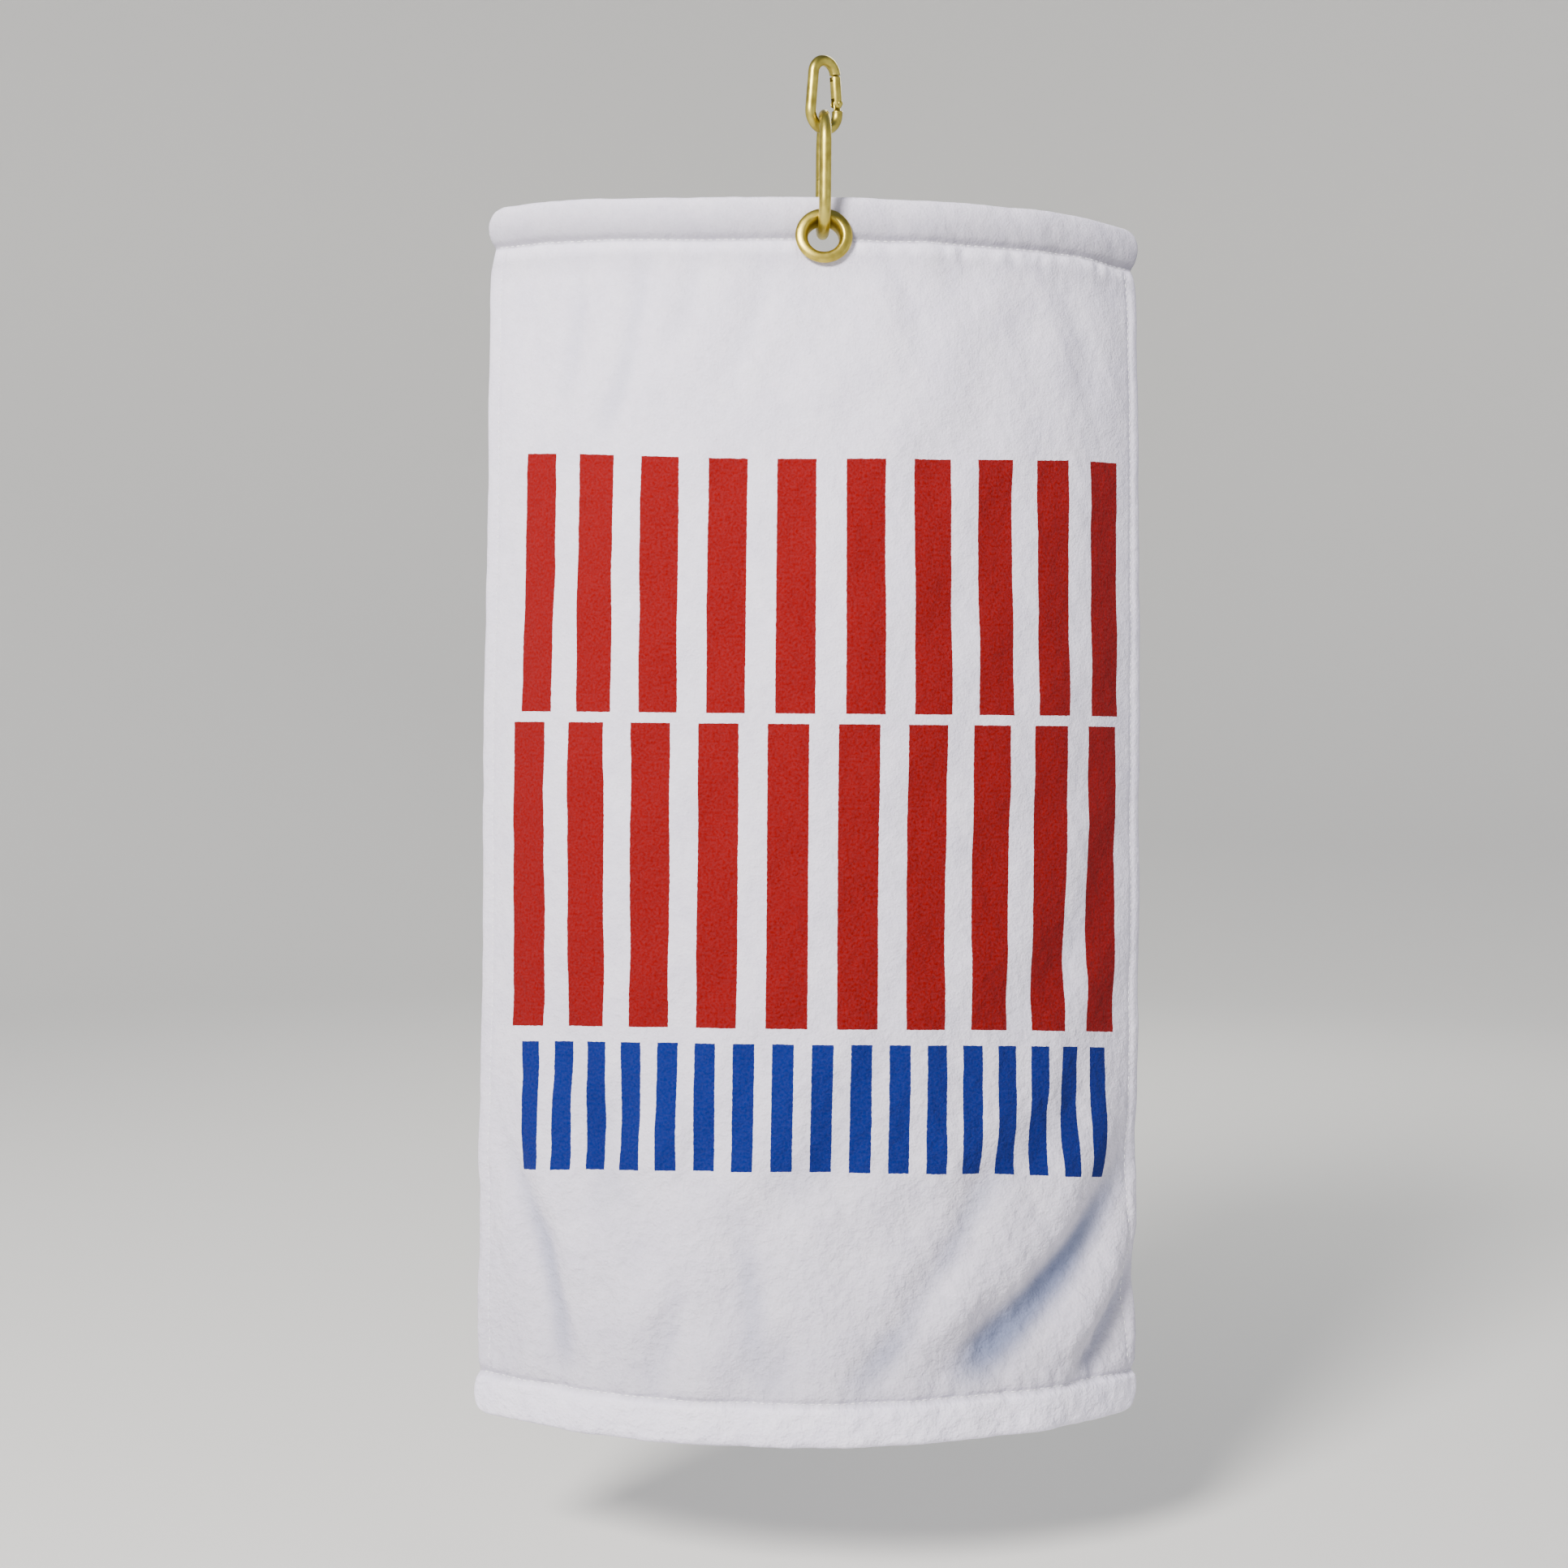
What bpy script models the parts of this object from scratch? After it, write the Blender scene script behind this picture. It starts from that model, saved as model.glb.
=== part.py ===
"""Golf towel: a hemmed cloth towel hung by a brass grommet from a wire link and a small snap hook.

Metres, +Z up, the towel's face towards -Y. The origin is the seat inside the snap hook's top bend,
where a bag's ring carries everything. The towel is bowed round an upright cylinder, as it lies on a bag.
"""

import math

import bmesh
import bpy
from mathutils import Matrix, Vector

# ---- Fits ----
CLEARANCE = 0.0003  # between pieces that touch
FOLD_GAP = 0.0006  # between the two halves of the cloth at the fold line
PIVOT_CLEARANCE = 0.0006  # where the link hangs on the hook, and the bore on the link

# ---- Snap hook: a teardrop of round wire, wider at the bottom ----
SNAP_WIRE = 0.0040
SNAP_HEIGHT = 0.0287
SNAP_TOP_RADIUS = 0.0050  # of the wire's centre line
SNAP_TURN = math.radians(35)  # of the hook's plane about Z, away from the XZ plane
LIMB_CLEARANCE = 0.0011  # beside the link's wire, inside the bottom bend
TONGUE_THICKNESS = 0.0014  # of the flattened wire ends that the gate straddles
TONGUE_WIDTH = 0.0032
NOSE_TONGUE_LENGTH = 0.0018
SHOULDER_LENGTH = 0.0006  # of full wire above the bottom bend, before the tongue
SHOULDER_GAP = 0.00035  # between a wire's full-width end and the gate

# ---- Gate: a round bar, slotted at both ends, with a spring in its bore ----
GATE_DIAMETER = 0.0040
GATE_BORE = 0.0018
GATE_BORE_DEPTH = 0.0045
GATE_CHAMFER = 0.0003
PLUNGER_LENGTH = 0.0010
SPRING_WIRE = 0.00024
SPRING_TURNS = 6
RIVET_RADIUS = 0.0005
RIVET_HEAD_RADIUS = 0.0010
RIVET_CROWN_RADIUS = 0.0006  # of the flat on top of each head
RIVET_HEAD_HEIGHT = 0.0004

# ---- Long link: a closed oblong ring of round wire in the YZ plane ----
LINK_WIRE = 0.0044
LINK_LENGTH = 0.0470  # outside
LINK_INNER_WIDTH = 0.0180

# ---- Cloth ----
TOWEL_WIDTH = 0.279  # along the bowed cloth
TOWEL_LENGTH = 0.457
CLOTH_THICKNESS = 0.0024
HEM_THICKNESS = 0.0050
SIDE_HEM_THICKNESS = 0.0038
TOP_HEM_HEIGHT = 0.0165
BOTTOM_HEM_HEIGHT = 0.0160
SIDE_HEM_WIDTH = 0.0060
THREAD_WIDTH = 0.0006
THREAD_DEPTH = 0.0016
BOW_RADIUS = 0.178
HANG_LEAN = math.radians(2.5)  # the cloth's lower edge hangs forward by this slope
TOP_LEAN = math.radians(12)  # more slope at the top edge, fading downwards
TOP_LEAN_REACH = 0.060

# ---- Grommet: an eyelet set through the top hem, with a washer behind ----
BORE_RADIUS = 0.00575
GROMMET_RADIUS = 0.0105
GROMMET_DROP = 0.0150  # of the hole's centre below the top edge
BARREL_WALL = 0.0008
BARREL_STRAIGHT = 0.0010  # half length of the bore before it flares
LIP_WIDTH = 0.0020  # from the bore to the crest of the front roll
LIP_PROUD = 0.0021  # of the front crest over the hem
RIM_THICKNESS = 0.0004
WASHER_THICKNESS = 0.0008
WASHER_CHAMFER = 0.00025
BACK_ROLL_WIDTH = 0.0030
BACK_ROLL_HEIGHT = 0.0006
BACK_ROLL_EDGE = 0.0002  # thickness of the back roll where it ends

# ---- How finely round shapes are divided ----
ROD_SIDES = 12
BEND_STEPS = 14
ROUND_END_STEPS = 4
BORE_SIDES = 12
RIVET_HOLE_SIDES = 20
SPRING_STEPS = 10  # for each turn
TURNED_STEPS = 32
QUARTER_STEPS = 4
ACROSS_STEPS = 20
UPPER_DROP_STEPS = 8
LOWER_DROP_STEPS = 6
PROFILE_STEPS = 200
MERGE_DISTANCE = 1e-6
SMOOTH_ANGLE = math.radians(35)

# ---- Finishes: colour, metallic, roughness ----
BRASS = ((0.52, 0.42, 0.12), 1.0, 0.34)
STEEL = ((0.55, 0.55, 0.55), 1.0, 0.35)
CLOTH = ((0.74, 0.74, 0.78), 0.0, 0.95)
THREAD = ((0.80, 0.80, 0.82), 0.0, 0.7)

# ---- Places that follow from the sizes ----
# Snap hook, in its own plane: s runs across it, z up.
SNAP_BOTTOM_RADIUS = (LINK_WIRE + SNAP_WIRE) / 2 / math.cos(SNAP_TURN) + LIMB_CLEARANCE
SNAP_TOP_Z = SNAP_WIRE / 2 - SNAP_TOP_RADIUS
SNAP_FLOOR_Z = SNAP_WIRE / 2 - (SNAP_HEIGHT - SNAP_WIRE)  # the wire's centre in the bottom bend
SNAP_BOTTOM_Z = SNAP_FLOOR_Z + SNAP_BOTTOM_RADIUS
SNAP_CENTRES = SNAP_TOP_Z - SNAP_BOTTOM_Z
LIMB_SLANT = math.asin((SNAP_BOTTOM_RADIUS - SNAP_TOP_RADIUS) / SNAP_CENTRES)
LIMB_LENGTH = SNAP_CENTRES * math.cos(LIMB_SLANT)

# Along the gate's limb, from where the bottom bend ends.
RIVET_AT = SHOULDER_LENGTH + SHOULDER_GAP + GATE_DIAMETER / 2
TONGUE_END_AT = RIVET_AT + TONGUE_WIDTH / 2
LOWER_SLOT_END_AT = TONGUE_END_AT + SHOULDER_GAP
NOSE_AT = LIMB_LENGTH - CLEARANCE
GATE_END_AT = NOSE_AT - SHOULDER_GAP
NOSE_TONGUE_END_AT = NOSE_AT - NOSE_TONGUE_LENGTH
UPPER_SLOT_END_AT = NOSE_TONGUE_END_AT - SHOULDER_GAP
SLOT_WIDTH = TONGUE_THICKNESS + 2 * CLEARANCE
RIVET_HOLE_RADIUS = RIVET_RADIUS + CLEARANCE

# Long link.
LINK_BEND_RADIUS = (LINK_INNER_WIDTH + LINK_WIRE) / 2
LINK_INNER_RADIUS = LINK_INNER_WIDTH / 2
LINK_TOP_Z = SNAP_FLOOR_Z + SNAP_WIRE / 2 + PIVOT_CLEARANCE + LINK_WIRE / 2
LINK_UPPER_BEND_Z = LINK_TOP_Z - LINK_BEND_RADIUS
LINK_LOWER_BEND_Z = LINK_TOP_Z + LINK_WIRE - LINK_LENGTH + LINK_BEND_RADIUS
LINK_PIVOT = Vector((0, 0, SNAP_FLOOR_Z))


def lean_at(drop):
    """Slope of the cloth at a distance down it: the hanging lean, and the top's, which fades."""
    return HANG_LEAN + TOP_LEAN * math.exp(-((drop / TOP_LEAN_REACH) ** 2))


# Grommet and towel: the bore hangs on the link's lower bend, square to the cloth there.
GROMMET_TILT = lean_at(GROMMET_DROP)
GROMMET_AXIS = Vector((0, -math.cos(GROMMET_TILT), math.sin(GROMMET_TILT)))
GROMMET_DOWN = Vector((0, -math.sin(GROMMET_TILT), -math.cos(GROMMET_TILT)))
LOWER_BEND_CENTRE = Vector((0, 0, LINK_LOWER_BEND_Z))
GROMMET_CENTRE = LOWER_BEND_CENTRE + GROMMET_DOWN * (LINK_INNER_RADIUS - PIVOT_CLEARANCE + BORE_RADIUS)
TOWEL_PIVOT = LOWER_BEND_CENTRE + GROMMET_DOWN * LINK_BEND_RADIUS
BARREL_RADIUS = BORE_RADIUS + BARREL_WALL
HEM_HOLE_RADIUS = BARREL_RADIUS + CLEARANCE
SEAT_GAP = CLEARANCE + GROMMET_RADIUS**2 / (2 * BOW_RADIUS)  # under a flat ring on the bowed hem

FOLD_DROP = TOWEL_LENGTH / 2


def profile_point(drop):
    """Height line of the cloth at x = 0: the grommet's centre plus the summed slope from there."""
    step = (drop - GROMMET_DROP) / PROFILE_STEPS
    slopes = [lean_at(GROMMET_DROP + (i + 0.5) * step) for i in range(PROFILE_STEPS)]
    forward = sum(math.sin(slope) for slope in slopes) * step
    down = sum(math.cos(slope) for slope in slopes) * step
    return GROMMET_CENTRE + Vector((0, -forward, -down))


def cloth_point(across, drop, lift):
    """Point of the cloth: across it from the middle, down it, and lifted out of its mid surface."""
    turn = across / BOW_RADIUS
    slope = lean_at(drop)
    bow = Vector((BOW_RADIUS * math.sin(turn), BOW_RADIUS * (1 - math.cos(turn)), 0))
    normal = Vector((math.sin(turn), -math.cos(turn) * math.cos(slope), math.sin(slope)))
    return profile_point(drop) + bow + normal.normalized() * lift


FOLD_PIVOT = cloth_point(0, FOLD_DROP, CLOTH_THICKNESS / 2 + CLEARANCE)

# The hook's plane, with its s axis and its normal.
SNAP_ACROSS = Vector((math.cos(SNAP_TURN), math.sin(SNAP_TURN), 0))
SNAP_NORMAL = Vector((-math.sin(SNAP_TURN), math.cos(SNAP_TURN), 0))
UP = Vector((0, 0, 1))
LIMB_OUT = SNAP_ACROSS * math.cos(LIMB_SLANT) + UP * math.sin(LIMB_SLANT)
LIMB_UP = SNAP_ACROSS * -math.sin(LIMB_SLANT) + UP * math.cos(LIMB_SLANT)
LIMB_FOOT = UP * SNAP_BOTTOM_Z + LIMB_OUT * SNAP_BOTTOM_RADIUS
RIVET = LIMB_FOOT + LIMB_UP * RIVET_AT


# ---- Scene, bodies and materials ----


def clear_scene():
    for obj in list(bpy.data.objects):
        bpy.data.objects.remove(obj)


def make_material(name, colour, metallic, roughness):
    material = bpy.data.materials.new(name)
    material.use_nodes = True
    shader = material.node_tree.nodes["Principled BSDF"]
    shader.inputs["Base Color"].default_value = (*colour, 1)
    shader.inputs["Metallic"].default_value = metallic
    shader.inputs["Roughness"].default_value = roughness
    material.diffuse_color = (*colour, 1)
    return material


def make_body(name, pivot):
    """An empty on a body's joint axis, which its pieces are parented to."""
    body = bpy.data.objects.new(name, None)
    body.location = pivot
    body.empty_display_size = 0.01
    bpy.context.collection.objects.link(body)
    return body


def add_piece(name, bm, body, finish):
    """The finished bmesh as an object, its origin on the body's pivot."""
    bmesh.ops.translate(bm, verts=bm.verts, vec=-body.location)
    bmesh.ops.recalc_face_normals(bm, faces=bm.faces)
    mesh = bpy.data.meshes.new(name)
    bm.to_mesh(mesh)
    bm.free()
    mesh.shade_smooth()
    mesh.set_sharp_from_angle(angle=SMOOTH_ANGLE)
    piece = bpy.data.objects.new(name, mesh)
    piece.parent = body
    bpy.context.collection.objects.link(piece)
    mesh.materials.append(make_material(name, *finish))
    return piece


def cut(piece, cutter_bm, name):
    """Cuts a shape out of a piece with a Boolean, and keeps the cutter as a hidden wire."""
    bmesh.ops.translate(cutter_bm, verts=cutter_bm.verts, vec=-piece.parent.location)
    mesh = bpy.data.meshes.new(name)
    cutter_bm.to_mesh(mesh)
    cutter_bm.free()
    cutter = bpy.data.objects.new(name, mesh)
    cutter.parent = piece.parent
    cutter.hide_render = True
    cutter.display_type = "WIRE"
    bpy.context.collection.objects.link(cutter)
    boolean = piece.modifiers.new(name, "BOOLEAN")
    boolean.operation = "DIFFERENCE"
    boolean.solver = "EXACT"
    boolean.object = cutter


# ---- Shape tools ----


def frame_matrix(x_axis, y_axis, z_axis, centre):
    matrix = Matrix((x_axis, y_axis, z_axis)).transposed().to_4x4()
    matrix.translation = centre
    return matrix


def cylinder(axis, centre, radius, length, sides):
    bm = bmesh.new()
    placed = Matrix.Translation(centre) @ UP.rotation_difference(axis).to_matrix().to_4x4()
    bmesh.ops.create_cone(
        bm, cap_ends=True, segments=sides, radius1=radius, radius2=radius, depth=length, matrix=placed
    )
    return bm


def box(x_side, y_side, z_side, centre):
    """A box from its three side vectors, which are square to each other."""
    bm = bmesh.new()
    bmesh.ops.create_cube(bm, size=1, matrix=frame_matrix(x_side, y_side, z_side, centre))
    return bm


def rod(stations, normal, closed=False):
    """A bar with an oval section, through stations of a flat path.

    A station is its centre, its direction in the path's plane, and the section's half width in that
    plane and half thickness along the plane's normal.
    """
    places = []
    for centre, along, half_width, half_thickness in stations:
        side = along.cross(normal)
        places.append(frame_matrix(side * half_width, normal * half_thickness, along, centre))
    bm = bmesh.new()
    bmesh.ops.create_circle(bm, cap_ends=False, radius=1, segments=ROD_SIDES, matrix=places[0])
    first_ring = list(bm.edges)
    ring = first_ring
    for before, place in zip(places, places[1:]):
        made = bmesh.ops.extrude_edge_only(bm, edges=ring)["geom"]
        verts = [item for item in made if isinstance(item, bmesh.types.BMVert)]
        edges = [item for item in made if isinstance(item, bmesh.types.BMEdge)]
        ring = [edge for edge in edges if set(edge.verts) <= set(verts)]
        bmesh.ops.transform(bm, verts=verts, matrix=place @ before.inverted())
    if closed:
        bmesh.ops.bridge_loops(bm, edges=ring + first_ring)
    else:
        bmesh.ops.edgeloop_fill(bm, edges=first_ring)
        bmesh.ops.edgeloop_fill(bm, edges=ring)
    return bm


def bend(centre, across, up, radius, start, end, half_width):
    """Stations of a round rod round a bend, from one angle to another, both ends included."""
    stations = []
    for i in range(BEND_STEPS + 1):
        angle = start + (end - start) * i / BEND_STEPS
        outward = across * math.cos(angle) + up * math.sin(angle)
        along = (up * math.cos(angle) - across * math.sin(angle)) * math.copysign(1, end - start)
        stations.append((centre + outward * radius, along, half_width, half_width))
    return stations


def turned(profile, axis, down, centre):
    """A ring turned about its axis from a closed profile of (radius, height along the axis)."""
    bm = bmesh.new()
    verts = [bm.verts.new(centre + down * radius + axis * height) for radius, height in profile]
    edges = [bm.edges.new((a, b)) for a, b in zip(verts, verts[1:] + verts[:1])]
    bmesh.ops.spin(
        bm, geom=verts + edges, cent=centre, axis=axis, dvec=(0, 0, 0), angle=2 * math.pi,
        steps=TURNED_STEPS, use_merge=True, use_duplicate=False,
    )
    bmesh.ops.remove_doubles(bm, verts=bm.verts, dist=MERGE_DISTANCE)
    return bm


def quarter(start, end):
    """Points of a quarter ellipse that leaves the start straight along the axis, without the start."""
    points = []
    for i in range(1, QUARTER_STEPS + 1):
        angle = math.pi / 2 * i / QUARTER_STEPS
        radius = start[0] + (end[0] - start[0]) * (1 - math.cos(angle))
        height = start[1] + (end[1] - start[1]) * math.sin(angle)
        points.append((radius, height))
    return points


def cloth_slab(across_from, across_to, drop_from, drop_to, thickness, across_steps, drop_steps):
    """A piece of the bowed cloth, centred on its mid surface, between two distances across and down."""
    bm = bmesh.new()
    bmesh.ops.create_grid(bm, x_segments=across_steps, y_segments=drop_steps, size=1)
    back = list(bm.verts)
    made = bmesh.ops.extrude_face_region(bm, geom=list(bm.faces), use_keep_orig=True)
    front = [item for item in made["geom"] if isinstance(item, bmesh.types.BMVert)]
    for layer, lift in ((back, -thickness / 2), (front, thickness / 2)):
        for vert in layer:
            across = across_from + (across_to - across_from) * (vert.co.x + 1) / 2
            drop = drop_from + (drop_to - drop_from) * (1 - vert.co.y) / 2
            vert.co = cloth_point(across, drop, lift)
    return bm


# ---- Snap hook ----


def build_snap_body(body):
    """One wire: nose tongue, top bend, spine, bottom bend and the tongue that carries the gate."""
    half = SNAP_WIRE / 2
    flat = (TONGUE_WIDTH / 2, TONGUE_THICKNESS / 2)
    nose_end = LIMB_FOOT + LIMB_UP * NOSE_TONGUE_END_AT
    nose = LIMB_FOOT + LIMB_UP * NOSE_AT
    shoulder = LIMB_FOOT + LIMB_UP * SHOULDER_LENGTH
    stations = [(nose_end, LIMB_UP, *flat), (nose, LIMB_UP, *flat), (nose, LIMB_UP, half, half)]
    top, bottom = UP * SNAP_TOP_Z, UP * SNAP_BOTTOM_Z
    stations += bend(
        top, SNAP_ACROSS, UP, SNAP_TOP_RADIUS, LIMB_SLANT, math.pi - LIMB_SLANT, half
    )
    stations += bend(
        bottom, SNAP_ACROSS, UP, SNAP_BOTTOM_RADIUS, math.pi - LIMB_SLANT, 2 * math.pi + LIMB_SLANT, half
    )
    stations += [(shoulder, LIMB_UP, half, half), (shoulder, LIMB_UP, *flat), (RIVET, LIMB_UP, *flat)]
    # The tongue ends in a half round about the rivet.
    for i in range(1, ROUND_END_STEPS):
        angle = math.pi / 2 * i / ROUND_END_STEPS
        centre = RIVET + LIMB_UP * (TONGUE_WIDTH / 2 * math.sin(angle))
        stations.append((centre, LIMB_UP, flat[0] * math.cos(angle), flat[1]))
    piece = add_piece("snap_body", rod(stations, SNAP_NORMAL), body, BRASS)
    hole = cylinder(SNAP_NORMAL, RIVET, RIVET_HOLE_RADIUS, 2 * SNAP_WIRE, RIVET_HOLE_SIDES)
    cut(piece, hole, "rivet_hole_cutter")


def build_gate(body):
    """A bar with a round lower end, forked over the tongue at the rivet and over the nose."""
    half = GATE_DIAMETER / 2
    stations = []
    for i in range(1, ROUND_END_STEPS + 1):
        angle = math.pi / 2 * i / ROUND_END_STEPS
        centre = RIVET - LIMB_UP * (half * math.cos(angle))
        stations.append((centre, LIMB_UP, half * math.sin(angle), half * math.sin(angle)))
    end = LIMB_FOOT + LIMB_UP * GATE_END_AT
    end_half = half - GATE_CHAMFER
    stations.append((end - LIMB_UP * GATE_CHAMFER, LIMB_UP, half, half))
    stations.append((end, LIMB_UP, end_half, end_half))
    piece = add_piece("snap_gate", rod(stations, SNAP_NORMAL), body, BRASS)

    overrun = half / 2  # of a cutter, past the surface that it opens

    def slot(start, finish, name):
        centre = LIMB_FOOT + LIMB_UP * (start + finish) / 2
        width = GATE_DIAMETER + 2 * overrun
        sides = (LIMB_OUT * width, SNAP_NORMAL * SLOT_WIDTH, LIMB_UP * (finish - start))
        cut(piece, box(*sides, centre), name)

    slot(0, LOWER_SLOT_END_AT, "lower_slot_cutter")
    slot(UPPER_SLOT_END_AT, GATE_END_AT + overrun, "upper_slot_cutter")
    bore_centre = LIMB_FOOT + LIMB_UP * (LOWER_SLOT_END_AT + (GATE_BORE_DEPTH - overrun) / 2)
    bore = cylinder(LIMB_UP, bore_centre, GATE_BORE / 2, GATE_BORE_DEPTH + overrun, BORE_SIDES)
    cut(piece, bore, "spring_bore_cutter")
    hole = cylinder(SNAP_NORMAL, RIVET, RIVET_HOLE_RADIUS, 2 * GATE_DIAMETER, RIVET_HOLE_SIDES)
    cut(piece, hole, "gate_rivet_hole_cutter")


def build_rivet(body):
    """A plain rivet across the gate's fork, with a head outside each cheek, coned above and below."""
    seat = GATE_DIAMETER / 2 + CLEARANCE
    widest = seat + RIVET_HEAD_HEIGHT / 2
    half_profile = (
        (seat, RIVET_RADIUS),
        (widest, RIVET_HEAD_RADIUS),
        (seat + RIVET_HEAD_HEIGHT, RIVET_CROWN_RADIUS),
    )
    profile = [(-at, radius) for at, radius in reversed(half_profile)] + list(half_profile)
    stations = [(RIVET + SNAP_NORMAL * at, SNAP_NORMAL, radius, radius) for at, radius in profile]
    add_piece("gate_rivet", rod(stations, UP.cross(SNAP_NORMAL)), body, BRASS)


def build_gate_spring(body):
    """A compression spring in the gate's bore, and the plunger that it presses on the tongue."""
    outer = GATE_BORE / 2 - CLEARANCE
    bore_end = LOWER_SLOT_END_AT + GATE_BORE_DEPTH
    plunger_at = TONGUE_END_AT + CLEARANCE
    spring_from = plunger_at + PLUNGER_LENGTH + CLEARANCE + SPRING_WIRE / 2
    spring_to = bore_end - CLEARANCE - SPRING_WIRE / 2
    curve = bpy.data.curves.new("gate_spring", "CURVE")
    curve.dimensions = "3D"
    curve.bevel_depth = SPRING_WIRE / 2
    curve.bevel_resolution = 1
    curve.use_fill_caps = True
    count = SPRING_TURNS * SPRING_STEPS + 1
    spline = curve.splines.new("POLY")
    spline.points.add(count - 1)
    coil_radius = outer - SPRING_WIRE / 2
    for i in range(count):
        angle = 2 * math.pi * i / SPRING_STEPS
        at = spring_from + (spring_to - spring_from) * i / (count - 1)
        place = LIMB_FOOT + LIMB_UP * at - body.location
        place += (LIMB_OUT * math.cos(angle) + SNAP_NORMAL * math.sin(angle)) * coil_radius
        spline.points[i].co = (*place, 1)
    spring = bpy.data.objects.new("gate_spring", curve)
    spring.parent = body
    bpy.context.collection.objects.link(spring)
    curve.materials.append(make_material("gate_spring", *STEEL))
    plunger_centre = LIMB_FOOT + LIMB_UP * (plunger_at + PLUNGER_LENGTH / 2)
    plunger = cylinder(LIMB_UP, plunger_centre, outer, PLUNGER_LENGTH, BORE_SIDES)
    add_piece("spring_plunger", plunger, body, STEEL)


# ---- Long link ----


def build_long_link(body):
    """Two half rounds joined by straight legs, front and back of the towel."""
    half = LINK_WIRE / 2
    forward = Vector((0, -1, 0))
    upper, lower = UP * LINK_UPPER_BEND_Z, UP * LINK_LOWER_BEND_Z
    stations = bend(upper, forward, UP, LINK_BEND_RADIUS, 0, math.pi, half)
    stations += bend(lower, forward, UP, LINK_BEND_RADIUS, math.pi, 2 * math.pi, half)
    add_piece("long_link", rod(stations, Vector((1, 0, 0)), closed=True), body, BRASS)


# ---- Grommet ----


def build_grommet(body):
    """The eyelet's front flange, barrel and rolled back, and the washer under that roll."""
    half_hem = HEM_THICKNESS / 2
    crest = half_hem + LIP_PROUD
    under_flange = half_hem + SEAT_GAP
    washer_front = -half_hem - SEAT_GAP
    washer_back = washer_front - WASHER_THICKNESS
    roll_front = washer_back - CLEARANCE
    roll_crest = roll_front - BACK_ROLL_HEIGHT
    rim = (GROMMET_RADIUS, under_flange + RIM_THICKNESS)
    lip = (BORE_RADIUS + LIP_WIDTH, crest)
    front_dome = [rim] + quarter(rim, lip)
    front_bore, back_bore = (BORE_RADIUS, BARREL_STRAIGHT), (BORE_RADIUS, -BARREL_STRAIGHT)
    bore_mouth = [front_bore] + quarter(front_bore, lip)[:-1]
    back_lip = (BORE_RADIUS + BACK_ROLL_WIDTH / 2, roll_crest)
    back_mouth = [back_bore] + quarter(back_bore, back_lip)
    profile = front_dome + bore_mouth[::-1] + back_mouth
    profile += [
        (BORE_RADIUS + BACK_ROLL_WIDTH, roll_front - BACK_ROLL_EDGE),
        (BORE_RADIUS + BACK_ROLL_WIDTH, roll_front),
        (BARREL_RADIUS, roll_front),
        (BARREL_RADIUS, under_flange),
        (GROMMET_RADIUS, under_flange),
    ]
    eyelet = turned(profile, GROMMET_AXIS, GROMMET_DOWN, GROMMET_CENTRE)
    add_piece("grommet_eyelet", eyelet, body, BRASS)
    washer_profile = [
        (HEM_HOLE_RADIUS, washer_front),
        (GROMMET_RADIUS, washer_front),
        (GROMMET_RADIUS, washer_back + WASHER_CHAMFER),
        (GROMMET_RADIUS - WASHER_CHAMFER, washer_back),
        (HEM_HOLE_RADIUS, washer_back),
    ]
    washer = turned(washer_profile, GROMMET_AXIS, GROMMET_DOWN, GROMMET_CENTRE)
    add_piece("grommet_washer", washer, body, BRASS)


# ---- Cloth ----


def build_cross_hem(name, body, drop_from, drop_to):
    """A hem across the towel's end, full width."""
    half = TOWEL_WIDTH / 2
    hem = cloth_slab(-half, half, drop_from, drop_to, HEM_THICKNESS, ACROSS_STEPS, 2)
    return add_piece(name, hem, body, CLOTH)


def build_cross_thread(name, body, across_from, across_to, drop_from):
    """A row of thread across the cloth, in the groove beside a hem."""
    drop_to = drop_from + THREAD_WIDTH
    thread = cloth_slab(across_from, across_to, drop_from, drop_to, THREAD_DEPTH, ACROSS_STEPS, 1)
    add_piece(name, thread, body, THREAD)


def build_half(name, body, drop_from, drop_to, drop_steps):
    """One half of the cloth: the panel, its two side hems, and a row of thread beside each."""
    hem_edge = TOWEL_WIDTH / 2 - SIDE_HEM_WIDTH
    thread_edge = hem_edge - CLEARANCE - THREAD_WIDTH
    panel_edge = thread_edge - CLEARANCE
    panel = cloth_slab(
        -panel_edge, panel_edge, drop_from, drop_to, CLOTH_THICKNESS, ACROSS_STEPS, drop_steps
    )
    panel = add_piece(f"towel_{name}_panel", panel, body, CLOTH)
    for side, sign in (("left", -1), ("right", 1)):
        low, high = sorted((sign * TOWEL_WIDTH / 2, sign * hem_edge))
        hem = cloth_slab(low, high, drop_from, drop_to, SIDE_HEM_THICKNESS, 2, drop_steps)
        add_piece(f"{side}_hem_{name}", hem, body, CLOTH)
        low, high = sorted((sign * thread_edge, sign * (thread_edge + THREAD_WIDTH)))
        thread = cloth_slab(low, high, drop_from, drop_to, THREAD_DEPTH, 1, drop_steps)
        add_piece(f"{side}_hem_{name}_thread", thread, body, THREAD)
    return panel


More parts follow.
